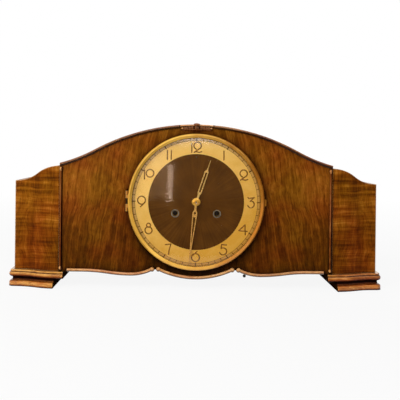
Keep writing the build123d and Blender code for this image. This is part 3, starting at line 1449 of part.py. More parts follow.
keep(door_fittings, "door_fittings")
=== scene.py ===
"""Looks of a tambour mantel clock: polished walnut, brass bezel, gilt chapter ring and brown dial."""
import math

import bmesh
import bpy
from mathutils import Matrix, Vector


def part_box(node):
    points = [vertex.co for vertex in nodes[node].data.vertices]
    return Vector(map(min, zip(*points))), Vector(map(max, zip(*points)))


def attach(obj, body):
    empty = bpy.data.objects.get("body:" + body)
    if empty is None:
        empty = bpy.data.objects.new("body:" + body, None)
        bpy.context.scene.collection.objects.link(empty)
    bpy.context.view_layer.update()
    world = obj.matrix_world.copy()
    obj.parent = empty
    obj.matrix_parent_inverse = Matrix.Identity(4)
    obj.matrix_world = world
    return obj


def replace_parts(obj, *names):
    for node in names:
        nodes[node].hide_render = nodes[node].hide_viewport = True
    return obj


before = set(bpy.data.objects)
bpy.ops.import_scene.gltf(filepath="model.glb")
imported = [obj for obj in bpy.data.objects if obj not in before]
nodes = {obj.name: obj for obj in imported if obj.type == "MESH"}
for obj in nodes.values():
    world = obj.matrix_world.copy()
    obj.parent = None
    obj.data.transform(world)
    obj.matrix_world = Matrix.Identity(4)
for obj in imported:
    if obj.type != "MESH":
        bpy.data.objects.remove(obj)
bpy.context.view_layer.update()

scene = bpy.context.scene
MM = 0.001

# Camera, from lines of the photograph that run straight back
EYE = (-0.0209, -0.8939, 0.2054)
ROLL = math.radians(0.66)
LENS = 53.5
SENSOR = 36.0
SHIFT_X = 0.045
SHIFT_Y = -0.1375

# Dial print
NUMERAL_R = 76.5 * MM
NUMERAL_H = 13.9 * MM
NUMERAL_GAP = 0.17
ELEVEN_GAP = 0.39
STROKE = 0.92 * MM
STROKE_H = 0.3 * MM
TRACK_IN = 86.3 * MM
TRACK_OUT = 89.6 * MM
TRACK_LINE = 0.24 * MM
TRACK_H = 0.12 * MM
MINUTE_BAR = 0.5 * MM
HOUR_BAR = 0.9 * MM
HOUR_BAR_IN = 86.0 * MM
# Steps round the minute band and its two lines
TRACK_STEPS = 180

# Carved crest in millimetres, with drops measured down from the arch's upper edge
CREST_BEND = 606.0
# Leaves to each side: distance from the middle, half length, lean in degrees and rise
CREST_LEAVES = [(6.6, 3.6, 4, 4.4), (10.2, 3.4, 9, 4.0), (13.7, 3.1, 15, 3.6), (17.1, 2.8, 22, 3.2)]
CREST_LEAF_W = 2.0
CREST_LEAF_DROP = 7.2
# Bosses: distance from the middle, drop, half width, half height and rise
CREST_CAP = (0.0, 2.5, 5.1, 2.4, 4.4)
CREST_FLOWER = (0.0, 7.0, 3.6, 4.0, 5.1)
CREST_BUTTON = (20.6, 7.6, 2.0, 2.0, 3.2)
# Ridges along the arch: drop, reach to each side, distance between points, half width and rise
CREST_STEM = (9.5, 20.0, 1.0, 0.9, 1.8)
CREST_RAIL = (3.8, 22.5, 0.5, 1.8, 2.2)

# Screws of the door's hinges and of the back board
HINGE_SCREW_R = 1.5 * MM
HINGE_SCREW_H = 0.8 * MM
HINGE_LEAF = 1.0 * MM
# In millimetres: a hinge's end to its middle, a leaf's edge to its screws, and each screw along the leaf
HINGE_HALF = 12
FIXED_INSET = 4.0
FIXED_SCREWS = (3.4, 8.6)
DOOR_INSET = 5.0
DOOR_SCREWS = (3.6, 8.8)
BOARD_SCREW_R = 2.8 * MM
BOARD_SCREW_H = 1.3 * MM
# Each screw's x and z in millimetres, and the turn of its slot in degrees
BOARD_SCREWS = [(-168, 44, 20), (168, 44, 75), (-168, 128, 120), (168, 128, 40), (-112, 196, 95),
                (112, 196, 10), (0, 222, 60), (-60, 44, 140), (60, 44, 25)]
# Half width and length of a slot as shares of the head's radius, and its floor as a share of the height
SLOT_HALF = 0.17
SLOT_REACH = 0.985
SLOT_FLOOR = 0.2

# Faces that meet at a larger angle keep a sharp edge between them
SHARP = math.radians(42)

# Patterns of the grain, as repeats in a metre across and along the fibres
FIBRES = (450.0, 13.0)
FLAMES = (62.0, 12.0)
PORES = (1700.0, 75.0)
RIPPLES = (11.0, 190.0)
# Patterns that run the same in all ways, as repeats in a metre
BURR = 95.0
DRIFT = 14.0
HUE_PATCHES = 24.0
TARNISH = 60.0
SCRATCHES = 900.0
TURNING_MARKS = 2600.0
PAINT_CLOUDS = 45.0
PAINT_GRIT = 1600.0
GLASS_SMEAR = 30.0
# Rays from the middle of the dial, as repeats of the pattern over a unit of direction
DIAL_RAYS = 26.0
# Where the five tones of a wood stand in its grain, from dark to light
TONE_STOPS = (0.35, 0.44, 0.51, 0.58, 0.68)
# How far the ripples of a veneer are pushed about
RIPPLE_SWAY = 0.012
# Rays that feel for corners and edges
EDGE_SAMPLES = 6

# Ranges: a value's low and high end
NOISE_SPAN = (0.35, 0.65)
GRIT_SPAN = (0.3, 0.7)
MARKS_SPAN = (0.7, 1.3)
CORNER_SPAN = (0.3, 0.85)
INWARD_SPAN = (0.6, 0.9)
RIGHT_SPAN = (-0.3, 0.3)
# An edge shows where the rounded and the true normal part: fully worn, with its painted highlight, at the
# first cosine, not at the second
WORN_LIT_EDGE = (0.78, 0.97)
# Ranges: a value's low and high end, then what each becomes
HUE_SHIFT = (*NOISE_SPAN, 0.491, 0.509)
PORE_STAIN = (0.32, 0.46, 0.45, 0.0)
LOW_SHADE_SPAN = (0.72, 0.97, 0.95, 0.0)
CLOUD_TARNISH = (0.4, 0.75, 0.0, 0.55)
WAY_SHADE_SPAN = (-0.05, 0.075, -0.1, 0.85)
METAL_DIRT_AND_SHADE_SPAN = (*CORNER_SPAN, 0.6, 0.0)
PAINT_DIRT_AND_SHADE_SPAN = (*CORNER_SPAN, 0.5, 0.0)
SMEAR_ROUGH = (0.4, 0.75, 0.1, 0.14)

# Colours of dirt and painted shade, laid over the colour below them
WOOD_DIRT_AND_SHADE = (52, 28, 12)
UNDER_SHADE = (60, 30, 12)
SIDE_SHADE = (60, 26, 8)
METAL_DIRT_AND_SHADE = (70, 46, 18)
PAINT_DIRT_AND_SHADE = (60, 42, 24)
END_SHADE = (16, 9, 5)
WHITE = (1.0, 1.0, 1.0, 1.0)

# Floor in metres: from the first distance to the second it turns from a share of white to pure white
FLOOR_HALF = 8.0
FLOOR_FADE = (0.4, 1.6)
FLOOR_WHITE = 0.9
FLOOR_GREY = 0.72
# Light of the surroundings on the object, as a share of the white behind it
SKY_FILL = 0.32
# Edges of the reflected boards in metres
CARD_FAR = -2.5
CARD_SIDE = 1.8
CARD_SPLIT = -0.7
CARD_RIGHT_BACK = 0.8
CARD_LEFT_BACK = -0.5
CARD_LOW_LEFT = -1.0
CARD_LOW_BACK = -0.12
CARD_LOW_LIFT = 0.0015


class Paint:
    """A node material with short ways to add textures and join them up."""

    def __init__(self, name):
        self.material = bpy.data.materials.new(name)
        self.material.use_nodes = True
        self.tree = self.material.node_tree
        self.shader = self.tree.nodes["Principled BSDF"]

    def put(self, socket, value):
        """Set a socket to a value or join it to another socket."""
        if isinstance(value, bpy.types.NodeSocket):
            self.tree.links.new(value, socket)
        else:
            socket.default_value = value

    def add(self, kind, **sockets):
        """A new node with some of its inputs set."""
        made = self.tree.nodes.new(kind)
        for name, value in sockets.items():
            self.put(made.inputs[name.replace("_", " ")], value)
        return made

    def math(self, operation, a, b=0.0):
        """What an operation makes of one or two values."""
        made = self.tree.nodes.new("ShaderNodeMath")
        made.operation = operation
        self.put(made.inputs[0], a)
        self.put(made.inputs[1], b)
        return made.outputs[0]

    def total(self, *shares):
        """Sum of values, each times its weight."""
        found = 0.0
        for value, weight in shares:
            found = self.math("ADD", self.math("MULTIPLY", value, weight), found)
        return found

    def vector(self, operation, a, b=(0, 0, 0)):
        """What an operation makes of one or two vectors, or of a vector and a number to scale it by."""
        made = self.tree.nodes.new("ShaderNodeVectorMath")
        made.operation = operation
        self.put(made.inputs[0], a)
        if operation == "SCALE":
            self.put(made.inputs["Scale"], b)
        else:
            self.put(made.inputs[1], b)
        return made.outputs["Value" if operation == "LENGTH" else "Vector"]

    def place(self):
        """Where a point lies on the object, in metres."""
        return self.tree.nodes.new("ShaderNodeTexCoord").outputs["Object"]

    def split(self, place):
        return self.add("ShaderNodeSeparateXYZ", Vector=place).outputs

    def turned(self, place, turn):
        return self.add("ShaderNodeMapping", Vector=place, Rotation=turn).outputs[0]

    def stretched(self, place, scale):
        return self.add("ShaderNodeMapping", Vector=place, Scale=scale).outputs[0]

    def noise(self, place, scale=1.0, detail=4.0, roughness=0.55, colour=False):
        made = self.add("ShaderNodeTexNoise", Vector=place, Scale=scale, Detail=detail, Roughness=roughness)
        return made.outputs["Color" if colour else "Fac"]

    def range(self, value, low, high, to_low, to_high):
        """A value moved from one range to another, and held at the ends."""
        return self.add("ShaderNodeMapRange", Value=value, From_Min=low, From_Max=high, To_Min=to_low,
                        To_Max=to_high).outputs[0]

    def ramp(self, value, stops):
        """A run of colours, given as pairs of place and sRGB colour."""
        made = self.tree.nodes.new("ShaderNodeValToRGB")
        self.put(made.inputs[0], value)
        elements = made.color_ramp.elements
        for end in (0, -1):
            elements[end].position = stops[end][0]
            elements[end].color = shade(*stops[end][1])
        for where, colour in stops[1:-1]:
            elements.new(where).color = shade(*colour)
        return made.outputs[0]

    def blend(self, kind, amount, a, b):
        """A colour laid over another. The node's sockets 6, 7 and 2 are the ones for colours."""
        made = self.tree.nodes.new("ShaderNodeMix")
        made.data_type = "RGBA"
        made.blend_type = kind
        self.put(made.inputs["Factor"], amount)
        self.put(made.inputs[6], a)
        self.put(made.inputs[7], b)
        return made.outputs[2]

    def crevice(self, reach):
        """How open a point is: low in corners."""
        made = self.tree.nodes.new("ShaderNodeAmbientOcclusion")
        made.samples = EDGE_SAMPLES
        made.inputs["Distance"].default_value = reach
        return made.outputs["AO"]

    def rounded(self, radius):
        """The normal of the surface as if its edges were rounded."""
        made = self.add("ShaderNodeBevel", Radius=radius)
        made.samples = EDGE_SAMPLES
        return made.outputs[0]

    def edges(self, soft, wear_and_highlight):
        """How far the rounded normal leaves the true one, so high along edges."""
        true = self.add("ShaderNodeNewGeometry").outputs["True Normal"]
        made = self.tree.nodes.new("ShaderNodeVectorMath")
        made.operation = "DOT_PRODUCT"
        self.put(made.inputs[0], soft)
        self.put(made.inputs[1], true)
        return self.range(made.outputs["Value"], *WORN_LIT_EDGE, wear_and_highlight, 0.0)

    def bump(self, height, strength, distance, normal=None):
        """Raise and lower the surface by a texture."""
        made = self.add("ShaderNodeBump", Height=height, Strength=strength, Distance=distance)
        if normal:
            self.put(made.inputs["Normal"], normal)
        self.put(self.shader.inputs["Normal"], made.outputs[0])

    def set(self, **sockets):
        """Set the shader's own inputs."""
        for name, value in sockets.items():
            self.put(self.shader.inputs[name.replace("_", " ")], value)


def linear(channel):
    channel /= 255.0
    if channel <= 0.04045:
        return channel / 12.92
    return ((channel + 0.055) / 1.055) ** 2.4


def shade(red, green, blue):
    """A colour from its sRGB values, 0 to 255."""
    return (linear(red), linear(green), linear(blue), 1.0)


def grain_scale(grain, across, along):
    """Scale of a grain pattern: coarse along the grain's axis and fine over the others."""
    return tuple(along if axis == grain else across for axis in "xyz")


def timber(paint, place, grain, turn, figure, sway, ripple):
    """Fibres and pores of a timber, and the tone that its fibres, flames, burr and ripples make together."""
    drift = paint.vector("SUBTRACT", paint.noise(place, DRIFT, 3.0, 0.5, colour=True), (0.5, 0.5, 0.5))
    swirl = paint.turned(paint.vector("ADD", place, paint.vector("SCALE", drift, sway)), (0, turn, 0))
    fibre = paint.noise(paint.stretched(swirl, grain_scale(grain, *FIBRES)), 1.0, 5.0, 0.55)
    flame = paint.noise(paint.stretched(swirl, grain_scale(grain, *FLAMES)), 1.0, 4.0, 0.55)
    burr = paint.noise(swirl, BURR, 5.0, 0.6)
    pores = paint.noise(paint.stretched(swirl, grain_scale(grain, *PORES)), 1.0, 2.0, 0.5)
    tone = paint.total((fibre, figure[0]), (flame, figure[1]), (burr, figure[2]), (0.5, 1 - sum(figure)))
    if ripple:
        waves = paint.vector("ADD", place, paint.vector("SCALE", drift, RIPPLE_SWAY))
        bands = paint.noise(paint.stretched(waves, grain_scale(grain, *RIPPLES)), 1.0, 3.0, 0.62)
        tone = paint.total((tone, 1.0), (paint.math("SUBTRACT", bands, 0.5), ripple))
    return fibre, pores, tone


def wood(name, tones, grain, turn=0.0, matched=False, figure=(0.45, 0.35, 0.2), sway=0.03, ripple=0.0,
         top_light=None, light_bands=None, rough=(0.3, 0.44), specular=0.07, tint=WHITE, coat=0.0, gloss=0.12, wear_and_highlight=0.0,
         pale=None, corner=1.2 * MM, dirt_and_shade_depth=0.7, reach=5 * MM, open_span=(0.35, 0.9), under=None, shady=0.0,
         shaded_ends=False, relief=0.12, low_shade=None):
    """Polished timber: grain, worn edges with painted highlights, and dirt with painted shade in the corners.

    top_light paints light from above, lightening the wood with height, and light_bands paint highlights and
    shade by height in millimetres. under is the range of upward facing over which the lower side takes
    painted shade, shady paints shade on what faces right and shaded_ends paints near-black shade on what
    faces the middle. low_shade is the reach of a painted shadow in corners low down, with the heights where
    it is full and gone.
    """
    paint = Paint(name)
    place = paint.place()
    x, y, z = paint.split(place)
    if matched:
        place = paint.add("ShaderNodeCombineXYZ", X=paint.math("ABSOLUTE", x), Y=y, Z=z).outputs[0]
    fibre, pores, tone = timber(paint, place, grain, turn, figure, sway, ripple)
    # Painted light from above: the wood lightens with height
    if top_light:
        tone = paint.math("ADD", tone, paint.range(z, *top_light))
    colour = paint.ramp(tone, list(zip(TONE_STOPS, tones)))
    hue = paint.range(paint.noise(place, HUE_PATCHES, 3.0, 0.5), *HUE_SHIFT)
    colour = paint.add("ShaderNodeHueSaturation", Hue=hue, Color=colour).outputs[0]
    colour = paint.blend("MULTIPLY", paint.range(pores, *PORE_STAIN), colour, shade(*tones[0]))
    soft = paint.rounded(corner)
    # Worn edges, painted pale also to stand for highlights along them
    colour = paint.blend("MIX", paint.edges(soft, wear_and_highlight), colour, shade(*(pale or tones[-1])))
    # Darker in corners and beside raised parts: partly dirt, partly painted shade
    dirt_and_shade = paint.range(paint.crevice(reach), *open_span, dirt_and_shade_depth, 0.0)
    colour = paint.blend("MULTIPLY", dirt_and_shade, colour, shade(*WOOD_DIRT_AND_SHADE))
    # Painted shadow in corners low down, as under the bezel
    if low_shade:
        low_shade_mask = paint.range(paint.crevice(low_shade[0]), *LOW_SHADE_SPAN)
        low_shade_mask = paint.math("MULTIPLY", low_shade_mask, paint.range(z, *low_shade[1:], 1.0, 0.0))
        colour = paint.blend("MULTIPLY", low_shade_mask, colour, shade(*WOOD_DIRT_AND_SHADE))
    facing = paint.split(paint.add("ShaderNodeTexCoord").outputs["Normal"])
    # Painted highlights and shade in bands by height; the shaded bands also lose their gloss
    if light_bands:
        top = light_bands[-1][0]
        stops = [(height / top, band_tone) for height, band_tone in light_bands]
        band_light = paint.ramp(paint.math("DIVIDE", z, top * MM), stops)
        colour = paint.blend("MULTIPLY", 1.0, colour, band_light)
        specular = paint.math("MULTIPLY", band_light, specular)
        coat = paint.math("MULTIPLY", band_light, coat)
    # Painted shade on the lower side of rounded parts
    if under:
        lower_side_shade = paint.range(facing[2], *under, 0.95, 0.0)
        colour = paint.blend("MULTIPLY", lower_side_shade, colour, shade(*UNDER_SHADE))
    # Painted shade on what faces right, away from the key lamp
    if shady:
        right_side_shade = paint.range(facing[0], *RIGHT_SPAN, 0.0, shady)
        colour = paint.blend("MULTIPLY", right_side_shade, colour, shade(*SIDE_SHADE))
    # Painted shade: what faces the middle turns near black and loses its gloss
    if shaded_ends:
        inward = paint.math("MULTIPLY", paint.math("MULTIPLY", facing[0], paint.math("SIGN", x)), -1.0)
        colour = paint.blend("MIX", paint.range(inward, *INWARD_SPAN, 0.0, 0.95), colour, shade(*END_SHADE))
        coat = paint.range(inward, *INWARD_SPAN, coat, 0.0)
        specular = paint.range(inward, *INWARD_SPAN, specular, 0.0)
    paint.set(Base_Color=colour, Roughness=paint.range(fibre, *NOISE_SPAN, *rough))
    paint.set(Coat_Weight=coat, Coat_Roughness=gloss, Coat_Tint=tint)
    paint.set(Specular_IOR_Level=specular, Specular_Tint=tint)
    paint.bump(paint.total((pores, 0.5), (fibre, 1.0)), relief, 0.3 * MM, soft)
    return paint.material


dial_mid = (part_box("chapter_ring")[0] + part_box("chapter_ring")[1]) / 2


def metal(name, colour, tarnish, rough, lathe=False, shade_way=None, dirt_and_shade_reach=1.5 * MM, metallic=1.0,
          specular=0.5):
    """Metal with cloudy tarnish, faint scratches or turning marks, and dirt with painted shade in its
    corners.

    shade_way is a way over the dial along which the metal darkens towards its tarnish as painted shade.
    """
    paint = Paint(name)
    place = paint.place()
    cloud = paint.noise(place, TARNISH, 5.0, 0.6)
    tarnish_and_shade = paint.range(cloud, *CLOUD_TARNISH)
    # Painted shade: darker across the dial towards one side, as if the light came from the other
    if shade_way:
        x, y, z = paint.split(paint.vector("MULTIPLY", paint.vector("SUBTRACT", place, dial_mid), shade_way))
        tarnish_and_shade = paint.math("ADD", tarnish_and_shade, paint.range(paint.math("ADD", x, z), *WAY_SHADE_SPAN))
    base = paint.blend("MIX", tarnish_and_shade, shade(*colour), shade(*tarnish))
    # Darker in corners: partly dirt, partly painted shade
    dirt_and_shade = paint.range(paint.crevice(dirt_and_shade_reach), *METAL_DIRT_AND_SHADE_SPAN)
    base = paint.blend("MULTIPLY", dirt_and_shade, base, shade(*METAL_DIRT_AND_SHADE))
    if lathe:
        arm = paint.vector("MULTIPLY", paint.vector("SUBTRACT", place, dial_mid), (1, 0, 1))
        reach = paint.math("MULTIPLY", paint.vector("LENGTH", arm), TURNING_MARKS)
        marks = paint.noise(paint.add("ShaderNodeCombineXYZ", X=reach).outputs[0], 1.0, 3.0, 0.6)
    else:
        marks = paint.noise(place, SCRATCHES, 4.0, 0.6)
    paint.set(Base_Color=base, Metallic=metallic, Specular_IOR_Level=specular)
    paint.set(Roughness=paint.range(paint.math("ADD", cloud, marks), *MARKS_SPAN, *rough))
    paint.bump(marks, 0.06, 0.1 * MM)
    return paint.material


def lacquer(name, tones, rays=False, rough=(0.36, 0.5), specular=0.3):
    """Satin paint with a faint cloud and grit, and on a dial a faint pattern of rays from its middle."""
    paint = Paint(name)
    place = paint.place()
    cloud = paint.noise(place, PAINT_CLOUDS, 5.0, 0.6)
    grit = paint.noise(place, PAINT_GRIT, 2.0, 0.5)
    tone = cloud
    if rays:
        arm = paint.vector("MULTIPLY", paint.vector("SUBTRACT", place, dial_mid), (1, 0, 1))
        beams = paint.noise(paint.vector("NORMALIZE", arm), DIAL_RAYS, 4.0, 0.6)
        tone = paint.total((cloud, 0.5), (beams, 0.5))
    colour = paint.ramp(tone, [(0.36, tones[0]), (0.64, tones[1])])
    # Darker in corners: partly dirt, partly painted shade
    dirt_and_shade = paint.range(paint.crevice(2 * MM), *PAINT_DIRT_AND_SHADE_SPAN)
    colour = paint.blend("MULTIPLY", dirt_and_shade, colour, shade(*PAINT_DIRT_AND_SHADE))
    paint.set(Base_Color=colour, Roughness=paint.range(grit, *GRIT_SPAN, *rough))
    paint.set(Specular_IOR_Level=specular)
    paint.bump(grit, 0.05, 0.08 * MM)
    return paint.material


def clear_glass(name):
    """Old convex glass with a faint smear, which lets lamps through."""
    paint = Paint(name)
    smear = paint.noise(paint.place(), GLASS_SMEAR, 4.0, 0.6)
    paint.set(Base_Color=WHITE, Transmission_Weight=1.0, IOR=1.4)
    paint.set(Roughness=paint.range(smear, *SMEAR_ROUGH))
    rays = paint.add("ShaderNodeLightPath")
    clear = paint.add("ShaderNodeBsdfTransparent")
    mix = paint.add("ShaderNodeMixShader")
    paint.put(mix.inputs[0], rays.outputs["Is Camera Ray"])
    paint.put(mix.inputs[1], clear.outputs[0])
    paint.put(mix.inputs[2], paint.shader.outputs[0])
    paint.put(paint.tree.nodes["Material Output"].inputs["Surface"], mix.outputs[0])
    return paint.material


panel_tones = [(54, 24, 3), (88, 44, 5), (115, 62, 9), (142, 82, 19), (182, 116, 42)]
wing_tones = [(70, 31, 3), (95, 46, 4), (118, 61, 6), (140, 77, 13), (172, 108, 34)]
trim_tones = [(118, 66, 20), (166, 104, 40), (196, 132, 60), (218, 158, 84), (246, 206, 140)]
# A lighter copy of the foot tones, as painted light from the key lamp on the left foot
lit_foot_tones = [(116, 70, 22), (164, 110, 46), (196, 144, 70), (218, 172, 98), (246, 214, 150)]
bead_tones = [(84, 42, 12), (122, 68, 26), (152, 92, 42), (184, 124, 68), (226, 176, 122)]
# Moulding tones made lighter to stand partly for the highlights on the beads
highlit_bead_tones = [(134, 80, 40), (178, 120, 68), (206, 152, 96), (226, 180, 126), (246, 216, 174)]
carved_tones = [(60, 26, 8), (94, 46, 16), (122, 66, 28), (150, 92, 48), (210, 154, 106)]
roof_tones = [(58, 27, 6), (94, 49, 12), (122, 68, 19), (146, 88, 32), (176, 114, 52)]
board_tones = [(66, 40, 18), (98, 64, 32), (118, 80, 44), (138, 98, 58), (164, 124, 80)]

# Painted highlights and shade by height in millimetres: shade in the cove and the groove of a foot,
# highlights on its rounds, and pale highlights on the buttons at the ends of the upright beads
foot_light_bands = [(0.0, (44, 22, 10)), (0.6, (70, 38, 18)), (1.6, (205, 155, 108)), (3.2, (255, 232, 200)),
               (6.0, (255, 232, 200)), (7.2, (214, 166, 118)), (9.2, (150, 100, 60)), (10.2, (56, 30, 14)),
               (14.2, (52, 28, 12)), (16.0, (150, 98, 56)), (17.4, (236, 196, 150)), (18.4, (255, 246, 226)),
               (19.8, (255, 246, 226)), (20.5, (110, 66, 36)), (21.1, (112, 70, 40)), (21.7, (255, 244, 224)),
               (23.5, (255, 248, 230))]
upright_light_bands = [(25.5, (255, 240, 225)), (30.4, (255, 240, 225)), (31.6, (164, 124, 92)),
                  (166.6, (164, 124, 92)), (167.8, (255, 240, 225)), (172.8, (255, 240, 225))]
AMBER = (1.0, 0.72, 0.42, 1.0)
PEACH = (1.0, 0.86, 0.72, 1.0)
foot_look = dict(specular=0.5, tint=PEACH, coat=0.7, rough=(0.2, 0.3), wear_and_highlight=0.4, dirt_and_shade_depth=0.9, reach=6 * MM,
                 light_bands=foot_light_bands, shaded_ends=True)

paints = {
    "panel": wood("panel_veneer", panel_tones, "z", turn=math.radians(10), matched=True,
                  figure=(0.33, 0.2, 0.17), sway=0.019, top_light=(0.045, 0.14, -0.07, 0.022), tint=AMBER,
                  dirt_and_shade_depth=0.95, reach=18 * MM, open_span=(0.5, 0.96), low_shade=(40 * MM, 0.05, 0.11)),
    "wing": wood("wing_veneer", wing_tones, "z", matched=True, figure=(0.26, 0.34, 0.08), ripple=0.55,
                 tint=AMBER, wear_and_highlight=1.0, pale=(232, 188, 134), corner=2.4 * MM),
    "roof": wood("roof_veneer", roof_tones, "x", rough=(0.5, 0.64), wear_and_highlight=0.8, pale=(226, 180, 126),
                 corner=2.0 * MM),
    "trim": wood("moulding_wood", bead_tones, "x", figure=(0.12, 0.4, 0.2), specular=0.4, tint=PEACH,
                 coat=0.5, gloss=0.24, rough=(0.24, 0.34), wear_and_highlight=0.3, under=(-0.2, 0.85), relief=0.03),
    "button": wood("highlit_moulding_wood", highlit_bead_tones, "x", figure=(0.12, 0.4, 0.2), specular=0.5,
                   tint=PEACH, coat=0.8, gloss=0.2, rough=(0.2, 0.3), wear_and_highlight=0.3, under=(-0.55, 0.2),
                   relief=0.04),
    "side_trim": wood("upright_moulding_wood", highlit_bead_tones, "z", specular=0.4, tint=AMBER,
                      rough=(0.16, 0.26), wear_and_highlight=0.2, dirt_and_shade_depth=0.6, light_bands=upright_light_bands, shady=1.0),
    "carving": wood("carved_wood", carved_tones, "x", specular=0.5, tint=PEACH, coat=0.5, rough=(0.18, 0.28),
                    wear_and_highlight=0.5, dirt_and_shade_depth=0.9, reach=3 * MM),
    "foot": wood("foot_wood", trim_tones, "x", **foot_look),
    # The left foot: a lighter copy of the foot wood, painted light from the key lamp on the left
    "left_foot": wood("lit_foot_wood", lit_foot_tones, "x", **foot_look),
    "board": wood("carcase_wood", board_tones, "x", rough=(0.5, 0.7), wear_and_highlight=0.2),
    "bezel": metal("polished_brass", (255, 200, 84), (190, 122, 38), (0.13, 0.2), lathe=True,
                   shade_way=(1.0, 0.0, -0.2), metallic=0.45),
    "gilt": metal("gilt_chapter_ring", (233, 191, 101), (214, 160, 54), (0.42, 0.56), lathe=True,
                  shade_way=(0.55, 0.0, -0.8), metallic=0.3, specular=0.3),
    "track": metal("pale_gilt_band", (212, 172, 98), (194, 142, 56), (0.42, 0.56),
                   shade_way=(0.55, 0.0, -0.8), metallic=0.3, specular=0.3),
    "numeral": metal("dark_gilt", (150, 104, 40), (104, 66, 20), (0.2, 0.3), metallic=0.6),
    "old_brass": metal("worn_brass", (204, 152, 76), (142, 94, 40), (0.3, 0.45), metallic=0.6),
    "brass": metal("plain_brass", (206, 164, 88), (156, 110, 48), (0.28, 0.45)),
    "hand": metal("hand_brass", (246, 202, 116), (206, 148, 66), (0.18, 0.32), metallic=0.5),
    "copper": metal("copper_brass", (236, 180, 94), (196, 132, 58), (0.2, 0.34), metallic=0.5),
    "eyelet": metal("eyelet_steel", (150, 139, 118), (94, 83, 65), (0.2, 0.34), metallic=0.35),
    "steel": metal("bright_steel", (196, 194, 186), (140, 134, 122), (0.2, 0.36)),
    "arbor": metal("dark_steel", (58, 55, 50), (30, 28, 26), (0.3, 0.46)),
    "iron": metal("dark_iron", (70, 68, 64), (46, 40, 34), (0.45, 0.65), metallic=0.8),
    "dial": lacquer("dial_brown", [(65, 36, 4), (93, 56, 12)], rays=True, specular=0.06),
    "print": lacquer("dial_print", [(84, 50, 6), (112, 72, 12)], specular=0.1),
    "knob": lacquer("black_knob", [(14, 12, 11), (28, 25, 22)], rough=(0.14, 0.26), specular=0.5),
    "glass": clear_glass("convex_glass"),
}

wearing = {
    "panel": ["front_panel"],
    "wing": ["left_wing", "right_wing"],
    "roof": ["roof_board"],
    "trim": ["top_bead", "crest_ornament"],
    "button": ["apron_bead_centre", "apron_bead_sides"],
    "side_trim": ["side_beads"],
    "foot": ["right_foot", "right_foot_cap"],
    "left_foot": ["left_foot", "left_foot_cap"],
    "board": ["base_board", "back_board", "back_door"],
    "bezel": ["bezel_ring", "bezel_tab", "hand_nut"],
    "old_brass": ["bezel_knuckles", "bezel_hinge_leaf"],
    "gilt": ["chapter_ring"],
    "hand": ["hour_hand"],
    "copper": ["minute_hand"],
    "brass": ["glass_retainer", "movement_front_plate", "movement_back_plate", "movement_brackets",
              "centre_wheel", "cannon_pinion", "hour_wheel", "minute_wheel", "third_wheel",
              "escape_wheel", "going_barrel", "strike_barrel", "pin_wheel", "strike_fly",
              "pendulum_bob", "rating_nut", "pendulum_cock", "door_hinge_fixed", "door_fittings",
              "plate_pillars"],
    "eyelet": ["winding_eyelets"],
    "steel": ["centre_arbor", "anchor", "pendulum_rod", "gong_rods", "strike_hammers", "lever_bracket",
              "strike_lever"],
    "arbor": ["going_winding_arbor", "strike_winding_arbor", "regulator_arbor", "bezel_hinge_pin"],
    "iron": ["gong_block"],
    "knob": ["lever_knob"],
    "dial": ["dial_plate"],
    "glass": ["bezel_glass"],
}
for paint_name, node_names in wearing.items():
    for node_name in node_names:
        slots = nodes[node_name].data.materials
        slots.clear()
        slots.append(paints[paint_name])

bare = sorted(set(nodes) - {name for names in wearing.values() for name in names})
assert not bare, bare


def piece(name, mesh, paint_name, body):
    """A finished mesh as a piece of the object that rides on a body."""
    bmesh.ops.recalc_face_normals(mesh, faces=mesh.faces)
    for face in mesh.faces:
        face.smooth = True
    made = bpy.data.objects.new(name, bpy.data.meshes.new(name))
    mesh.to_mesh(made.data)
    mesh.free()
    made.data.set_sharp_from_angle(angle=SHARP)
    made.data.materials.append(paints[paint_name])
    scene.collection.objects.link(made)
    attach(made, body)
    return made


def ribbon(mesh, line, half_width, height, front):
    """A low rounded ridge with round ends along a line of points, standing on the depth named front."""
    profile = [(-1.0, 0.0), (-0.75, 0.7), (0.0, 1.0), (0.75, 0.7), (1.0, 0.0)]
    first = (line[0] - line[1]).normalized()
    last = (line[-1] - line[-2]).normalized()
    tips = (0.35, 0.7, 0.97)
    stations = [(line[0] + first * half_width * t, -first, math.sqrt(1 - t * t)) for t in reversed(tips)]
    for index, point in enumerate(line):
        way = line[min(index + 1, len(line) - 1)] - line[max(index - 1, 0)]
        stations.append((point, way.normalized(), 1.0))
    stations += [(line[-1] + last * half_width * t, last, math.sqrt(1 - t * t)) for t in tips]
    rings = []
    for point, way, share in stations:
        side = Vector((way.y, -way.x)) * half_width * share
        ring = []
        for across, up in profile:
            spot = point + side * across
            ring.append(mesh.verts.new((spot.x, front - up * height * share, spot.y)))
        rings.append(ring)
    for ring, following in zip(rings, rings[1:]):
        for a in range(len(profile) - 1):
            mesh.faces.new((ring[a], ring[a + 1], following[a + 1], following[a]))
        mesh.faces.new((ring[-1], ring[0], following[0], following[-1]))
    mesh.faces.new(rings[0])
    mesh.faces.new(list(reversed(rings[-1])))


def arc(centre_x, centre_y, radius, start, end, steps=24):
    """Points along a round stretch, with angles in degrees from the right, anticlockwise."""
    found = []
    for step in range(steps + 1):
        turn = math.radians(start + (end - start) * step / steps)
        found.append((centre_x + radius * math.cos(turn), centre_y + radius * math.sin(turn)))
    return found


